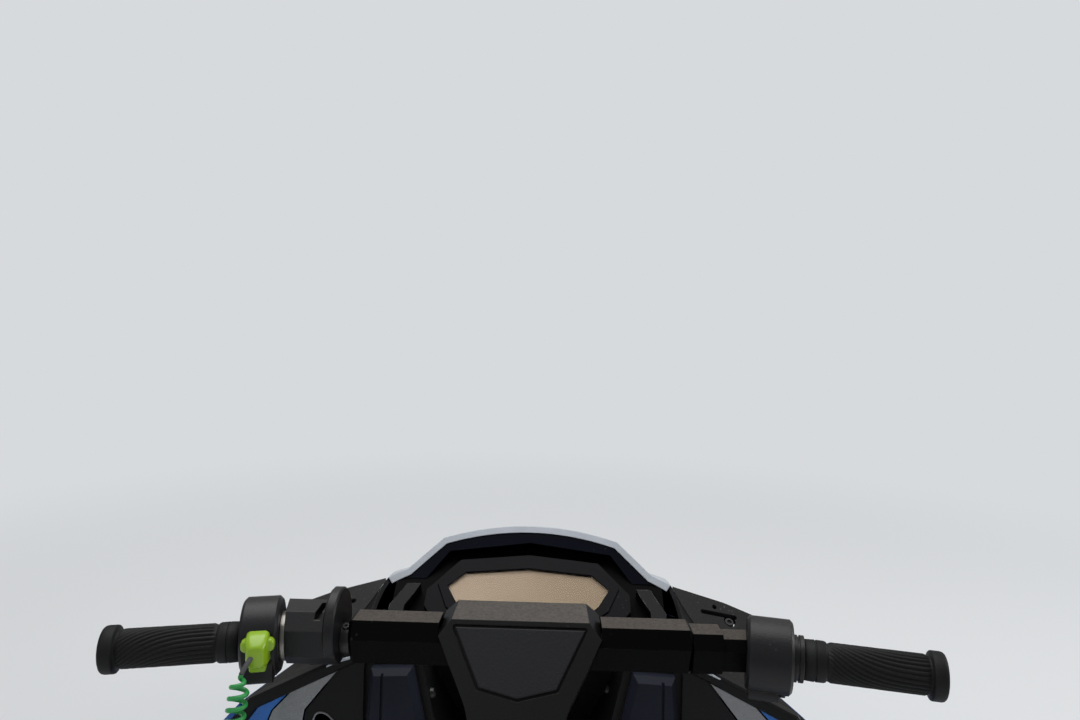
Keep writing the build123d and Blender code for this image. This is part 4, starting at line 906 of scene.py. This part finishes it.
# columns: distance from the bar's bend, radius (m)
CUFF_PROFILE = [
    (0.0603, 0.0113), (0.0603, 0.0172), (0.0608, 0.0177), (0.0690, 0.0181), (0.0694, 0.0174),
    (0.0702, 0.0174), (0.0706, 0.0181), (0.0775, 0.0179), (0.0790, 0.0172), (0.0796, RIB_BASE),
]
FLANGE_PROFILE = [
    (0.1640, RIB_BASE), (0.1647, 0.0165), (0.1650, 0.0201), (0.1655, 0.0207), (0.1664, 0.0210),
    (0.1735, 0.0210), (0.1752, 0.0206), (0.1763, 0.0197), (0.1768, 0.0187), (0.1768, 0.0130),
    (0.1761, 0.0122), (0.1761, 0.0),
]
rib_start, rib_end = CUFF_PROFILE[-1][0], FLANGE_PROFILE[0][0]
rib_rows = [(rib_start + (rib_end - rib_start) * k / RIB_ROWS, RIB_BASE) for k in range(1, RIB_ROWS)]
grip_profile = CUFF_PROFILE + rib_rows + FLANGE_PROFILE
print("grip profile rows:", len(grip_profile))

# %% Ribs that sweep round the grip
WAVES_ROUND = 13.0  # each wave gives two ribs, one from its crest and one from its trough
RIB_DEPTH = 0.0014
RIB_SWEEP = 1.5
SWEEP_POWER = 3.0  # how fast the sweep dies away from the swept end
RUN_IN_SHARE = 0.05  # of the ribs' length, at each end
numbers = ("Swept end", "Straight end", "Waves", "Depth", "Sweep")
inputs = [(name, "Float") for name in numbers] + [("Finish", "Material")]
tree, given, result, rib_ids = new_tree("Swept ribs", inputs)
position = add_node(tree, "GeometryNodeInputPosition").outputs[0]
place = add_node(tree, "ShaderNodeSeparateXYZ", links={"Vector": position})
around = maths(tree, "ARCTAN2", place.outputs["Y"], place.outputs["X"])
share = add_node(tree, "ShaderNodeMapRange", links={
    "Value": place.outputs["Z"], "From Min": given.outputs["Swept end"],
    "From Max": given.outputs["Straight end"],
}).outputs["Result"]
dying = maths(tree, "POWER", maths(tree, "SUBTRACT", 1.0, share), SWEEP_POWER)
turned = maths(tree, "ADD", around, maths(tree, "MULTIPLY", dying, given.outputs["Sweep"]))
wave = maths(tree, "COSINE", maths(tree, "MULTIPLY", turned, given.outputs["Waves"]))
crest = maths(tree, "MULTIPLY", maths(tree, "ABSOLUTE", wave), given.outputs["Depth"])
ends = (ramp(tree, share, 0.0, RUN_IN_SHARE), ramp(tree, share, 1.0, 1 - RUN_IN_SHARE))
run_in = maths(tree, "MULTIPLY", *ends)
outward = add_node(tree, "ShaderNodeCombineXYZ", links={
    "X": maths(tree, "COSINE", around), "Y": maths(tree, "SINE", around),
})
push = add_node(tree, "ShaderNodeVectorMath", {"operation": "SCALE"}, links={
    "Vector": outward.outputs[0], "Scale": maths(tree, "MULTIPLY", crest, run_in),
})
moved = add_node(tree, "GeometryNodeSetPosition", links={
    "Geometry": given.outputs["Geometry"], "Offset": push.outputs[0],
})
end_tree(tree, moved.outputs[0], given, result)

up_axis = Vector((0, 0, 1))
for side, sign, swept_end in (("left", -1, rib_end), ("right", 1, rib_start)):
    name = "ribbed_grip_" + side
    grip = add_object(name, lathe(name, grip_profile, GRIP_SIDES))
    grip_mesh = apply_tree(grip, tree, rib_ids, {
        "Swept end": swept_end, "Straight end": rib_start + rib_end - swept_end, "Waves": WAVES_ROUND,
        "Depth": RIB_DEPTH, "Sweep": RIB_SWEEP, "Finish": finishes["grip_rubber"],
    })
    outward_axis = Vector((sign * cos(GRIP_SWEEP), -sin(GRIP_SWEEP), 0))
    turn = Matrix((up_axis.cross(outward_axis), up_axis, outward_axis)).transposed().to_4x4()
    grip_mesh.transform(Matrix.Translation((sign * BEND.x, BEND.y, BEND.z)) @ turn)
    smooth(grip_mesh, SOFT)
    carried(grip, "handlebar")
    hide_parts("grip_" + side)
print("grip faces:", len(grip_mesh.polygons))

# %% [markdown]
# ## Stop-switch clip
#
# The clip is a soft moulded plug: a body that narrows toward the rider, an ear on each side to
# pull it by, and a lower block that grips the switch. Each is a stack of rounded outlines, so
# every edge has the soft radius of a moulding.

# %% Rounded moulding from a stack of outlines


def grip_point(sign, forward, up, out):
    """Point in a grip's own directions, measured from the bar's bend (m)"""
    x = BEND.x + out * cos(GRIP_SWEEP) + forward * sin(GRIP_SWEEP)
    y = BEND.y - out * sin(GRIP_SWEEP) + forward * cos(GRIP_SWEEP)
    return Vector((sign * x, y, BEND.z + up))


def rounded_outline(width, height, corner, corner_steps=6):
    """Points of a rounded rectangle about its middle"""
    points = []
    for quarter, (sx, sy) in enumerate(((1, 1), (-1, 1), (-1, -1), (1, -1))):
        x, y = sx * (width / 2 - corner), sy * (height / 2 - corner)
        for k in range(corner_steps + 1):
            angle = pi / 2 * (quarter + k / corner_steps)
            points.append((x + corner * cos(angle), y + corner * sin(angle)))
    return points


def moulding(name, sign, middle_place, layers):
    """Closed stack of rounded rectangles; layers are (toward the rider, width, height, corner, up)"""
    forward, up, out = middle_place
    rings = [
        [
            grip_point(sign, forward - toward, up + rise + y, out + x)
            for x, y in rounded_outline(width, height, corner)
        ]
        for toward, width, height, corner, rise in layers
    ]
    return stacked(name, rings, SOFT)


def joined(name, meshes):
    """One mesh out of several closed ones"""
    mesh = bmesh.new()
    for part in meshes:
        mesh.from_mesh(part)
    made = bpy.data.meshes.new(name)
    mesh.to_mesh(made)
    mesh.free()
    return made


# %% Clip body, ears and lower block
CLIP_PLACE = (-0.0340, 0.011, 0.039)
# columns: toward the rider, width, height, corner, up (m)
CLIP_BODY = [
    (0.0010, 0.0188, 0.0280, 0.0040, 0.0000), (0.0020, 0.0198, 0.0290, 0.0046, 0.0000),
    (0.0100, 0.0190, 0.0270, 0.0046, -0.0008), (0.0140, 0.0178, 0.0240, 0.0046, -0.0013),
    (0.0180, 0.0148, 0.0200, 0.0044, -0.0018), (0.0193, 0.0132, 0.0182, 0.0042, -0.0020),
    (0.0198, 0.0112, 0.0162, 0.0036, -0.0020),
]
CLIP_EARS = [
    (0.0010, 0.0270, 0.0100, 0.0040, 0.0030), (0.0020, 0.0286, 0.0116, 0.0048, 0.0030),
    (0.0070, 0.0286, 0.0116, 0.0048, 0.0030), (0.0084, 0.0270, 0.0100, 0.0042, 0.0030),
    (0.0089, 0.0246, 0.0080, 0.0034, 0.0030),
]
CLIP_FOOT = [
    (0.0010, 0.0140, 0.0090, 0.0022, -0.0155), (0.0090, 0.0140, 0.0090, 0.0022, -0.0155),
    (0.0100, 0.0126, 0.0076, 0.0018, -0.0155),
]
clip_meshes = [moulding("clip", -1, CLIP_PLACE, layers) for layers in (CLIP_BODY, CLIP_EARS, CLIP_FOOT)]
clip = new_piece("stop_clip", joined("stop_clip", clip_meshes), "green_plastic", "handlebar")
smooth(clip.data, SOFT)
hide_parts("lanyard_clip")
print("clip faces:", len(clip.data.polygons))

# %% [markdown]
# ## Fasteners and trim
#
# Screws close the control housings from below. On the fairing a socket bolt sits in each
# winglet and on each wall of the column's tunnel, and a row of rivets holds the fairing to the
# deck's flange. A silver lip edges each vent, its brightness a painted highlight on the rim, and a
# slim bright moulding curls over the inner end of each shoulder trim.

# %% Screws of the handlebar
# columns: side, radius, rise over the bar's axis, distances from the bend, angles (m, degrees)
DRUM_SCREWS = [
    (1, 0.0330, 0.0, (0.018, 0.042), (150, 208)),
    (-1, 0.0345, 0.005, (0.0305, 0.0505), (166, 210)),
]
DRUM_SCREW_HEAD = 0.0032
COLLAR_X, COLLAR_RADIUS, COLLAR_SCREW_HEAD = -0.1615, 0.014, 0.0036
COLLAR_FACING = Vector((0, -0.34, 0.94))


def drum_screw(sign, out, radius, rise, angle):
    """Screw on a round housing; the angle is measured from straight up toward the rider"""
    place = grip_point(sign, -radius * sin(angle), rise + radius * cos(angle), out)
    centre = grip_point(sign, 0.0, rise, out)
    return (place, (place - centre).normalized(), DRUM_SCREW_HEAD)


bar_screws = [
    drum_screw(sign, out, radius, rise, radians(angle))
    for sign, radius, rise, places, angles in DRUM_SCREWS
    for out in places
    for angle in angles
]
collar_place = Vector((COLLAR_X, BEND.y, BEND.z)) + COLLAR_RADIUS * COLLAR_FACING
bar_screws.append((collar_place, COLLAR_FACING, COLLAR_SCREW_HEAD))
screws("housing_screws", "handlebar", bar_screws)
print("housing screws:", len(bar_screws))

# %% Bolts and rivets of the fairing
# a winglet's top is a plane through its corner
WINGLET_CORNER = Vector((0.168, 0.050, 0.276))
WINGLET_FACING = Vector((0.137, -0.565, 1.0))
WINGLET_BOLT_X, WINGLET_BOLT_Y = 0.229, 0.021
WINGLET_BOLT_HEAD, WINGLET_BOLT_SINK = 0.0056, 0.0045
# columns: place on the tunnel's wall (m), facing
TUNNEL_BOLTS = [
    ((0.0917, -0.0141, 0.1851), (-0.94, 0, 0.34)),
    ((-0.0951, -0.0607, 0.1999), (0.98, 0, 0.22)),
]
TUNNEL_BOLT_HEAD = 0.0058
# columns: y along the hull, x of the fairing's foot (m)
FOOT_LINE = [
    (-0.100, 0.338), (-0.020, 0.333), (0.050, 0.325), (0.160, 0.300), (0.290, 0.250), (0.420, 0.178),
    (0.500, 0.115),
]
FLANGE_MIDDLE = 0.0045
DECK_TOP = 0.006
RIVET_SPACING, RIVET_HEAD = 0.062, 0.0027

hull_screws = [(Vector(place), Vector(toward), TUNNEL_BOLT_HEAD) for place, toward in TUNNEL_BOLTS]
run_x, run_y = WINGLET_BOLT_X - WINGLET_CORNER.x, WINGLET_BOLT_Y - WINGLET_CORNER.y
bolt_z = WINGLET_CORNER.z - (WINGLET_FACING.x * run_x + WINGLET_FACING.y * run_y)
for sign in (-1, 1):
    toward = Vector((sign * WINGLET_FACING.x, WINGLET_FACING.y, WINGLET_FACING.z)).normalized()
    seat = Vector((sign * WINGLET_BOLT_X, WINGLET_BOLT_Y, bolt_z)) - WINGLET_BOLT_SINK * toward
    hull_screws.append((seat, toward, WINGLET_BOLT_HEAD))
    foot_points = [Vector((sign * (x + FLANGE_MIDDLE), y, DECK_TOP)) for y, x in FOOT_LINE]
    rivets = along(foot_points, RIVET_SPACING)
    hull_screws += [(place, up_axis, RIVET_HEAD) for place, _ in rivets[:-1]]
screws("fairing_screws", "console", hull_screws)
print("bolts and rivets:", len(hull_screws))

# %% Lips round the rear panels' vents, silver as a painted highlight
# the rear panels' face leans forward with height and turns forward outboard
PANEL_FOOT_Y, PANEL_LEAN, PANEL_TURN, PANEL_TURN_X = -0.097, 0.10, 0.15, 0.150
VENT_MIDDLE = (0.197, 0.168)
VENT_REACH = (0.0113, 0.0233)
VENT_TURN = radians(-24)
LIP_RADIUS = 0.0012
LIP_STEPS, LIP_SIDES = 72, 10


def panel_face_y(x, z):
    """Y of the rear panels' face"""
    return PANEL_FOOT_Y + PANEL_LEAN * z - PANEL_TURN * (x - PANEL_TURN_X)


def vent_point(sign, angle, scale=1.0):
    """Point of the vent's edge on one side of the helm"""
    across, up = scale * VENT_REACH[0] * cos(angle), scale * VENT_REACH[1] * sin(angle)
    x = VENT_MIDDLE[0] + across * cos(VENT_TURN) - up * sin(VENT_TURN)
    z = VENT_MIDDLE[1] + across * sin(VENT_TURN) + up * cos(VENT_TURN)
    return Vector((sign * x, panel_face_y(x, z), z))


lip_bm = bmesh.new()
lip_angles = [tau * k / LIP_SIDES for k in range(LIP_SIDES)]
for sign in (-1, 1):
    astern = Vector((-PANEL_TURN * sign, -1, PANEL_LEAN)).normalized()
    lip_rings = []
    for step in range(LIP_STEPS):
        middle_place = vent_point(sign, tau * step / LIP_STEPS)
        outward = (middle_place - vent_point(sign, 0, 0)).normalized()
        offsets = [LIP_RADIUS * (cos(angle) * outward + sin(angle) * astern) for angle in lip_angles]
        lip_rings.append([lip_bm.verts.new(middle_place + offset) for offset in offsets])
    for step in range(LIP_STEPS):
        bridge(lip_bm, lip_rings[step], lip_rings[(step + 1) % LIP_STEPS])
# silver finish: a painted highlight on the vents' rounded rims
highlight_lips = new_piece("vent_highlight_lips", finished_mesh("vent_highlight_lips", lip_bm, ROUND), "silver_satin", "console")
print("lip faces:", len(highlight_lips.data.polygons))

# %% Bright curls on the shoulder trims
# columns: x, z on the trim's rear face (m)
CURL = [
    (0.1712, 0.2532), (0.1722, 0.2490), (0.1746, 0.2462), (0.1790, 0.2454), (0.1850, 0.2438),
    (0.1915, 0.2410), (0.1975, 0.2383),
]
CURL_RADIUS = 0.0015
CURL_TIP_SHARE = 0.45  # of the radius, at the curl's two ends
TRIM_PROUD = 0.0055  # of the trim's face over the rear panels'

curl_meshes = []
for sign in (-1, 1):
    route = [(sign * x, panel_face_y(x, z) - TRIM_PROUD, z) for x, z in CURL]
    line = spline_points(route, resolution=12)
    swell = [sin(pi * k / (len(line) - 1)) for k in range(len(line))]
    taper = [CURL_RADIUS * (CURL_TIP_SHARE + (1 - CURL_TIP_SHARE) * share) for share in swell]
    curl_meshes.append(tube_mesh("trim_curl", line, taper, sides=14))
curls = new_piece("trim_curls", joined("trim_curls", curl_meshes), "white_gloss", "console")
smooth(curls.data, SOFT)
print("curl faces:", len(curls.data.polygons))
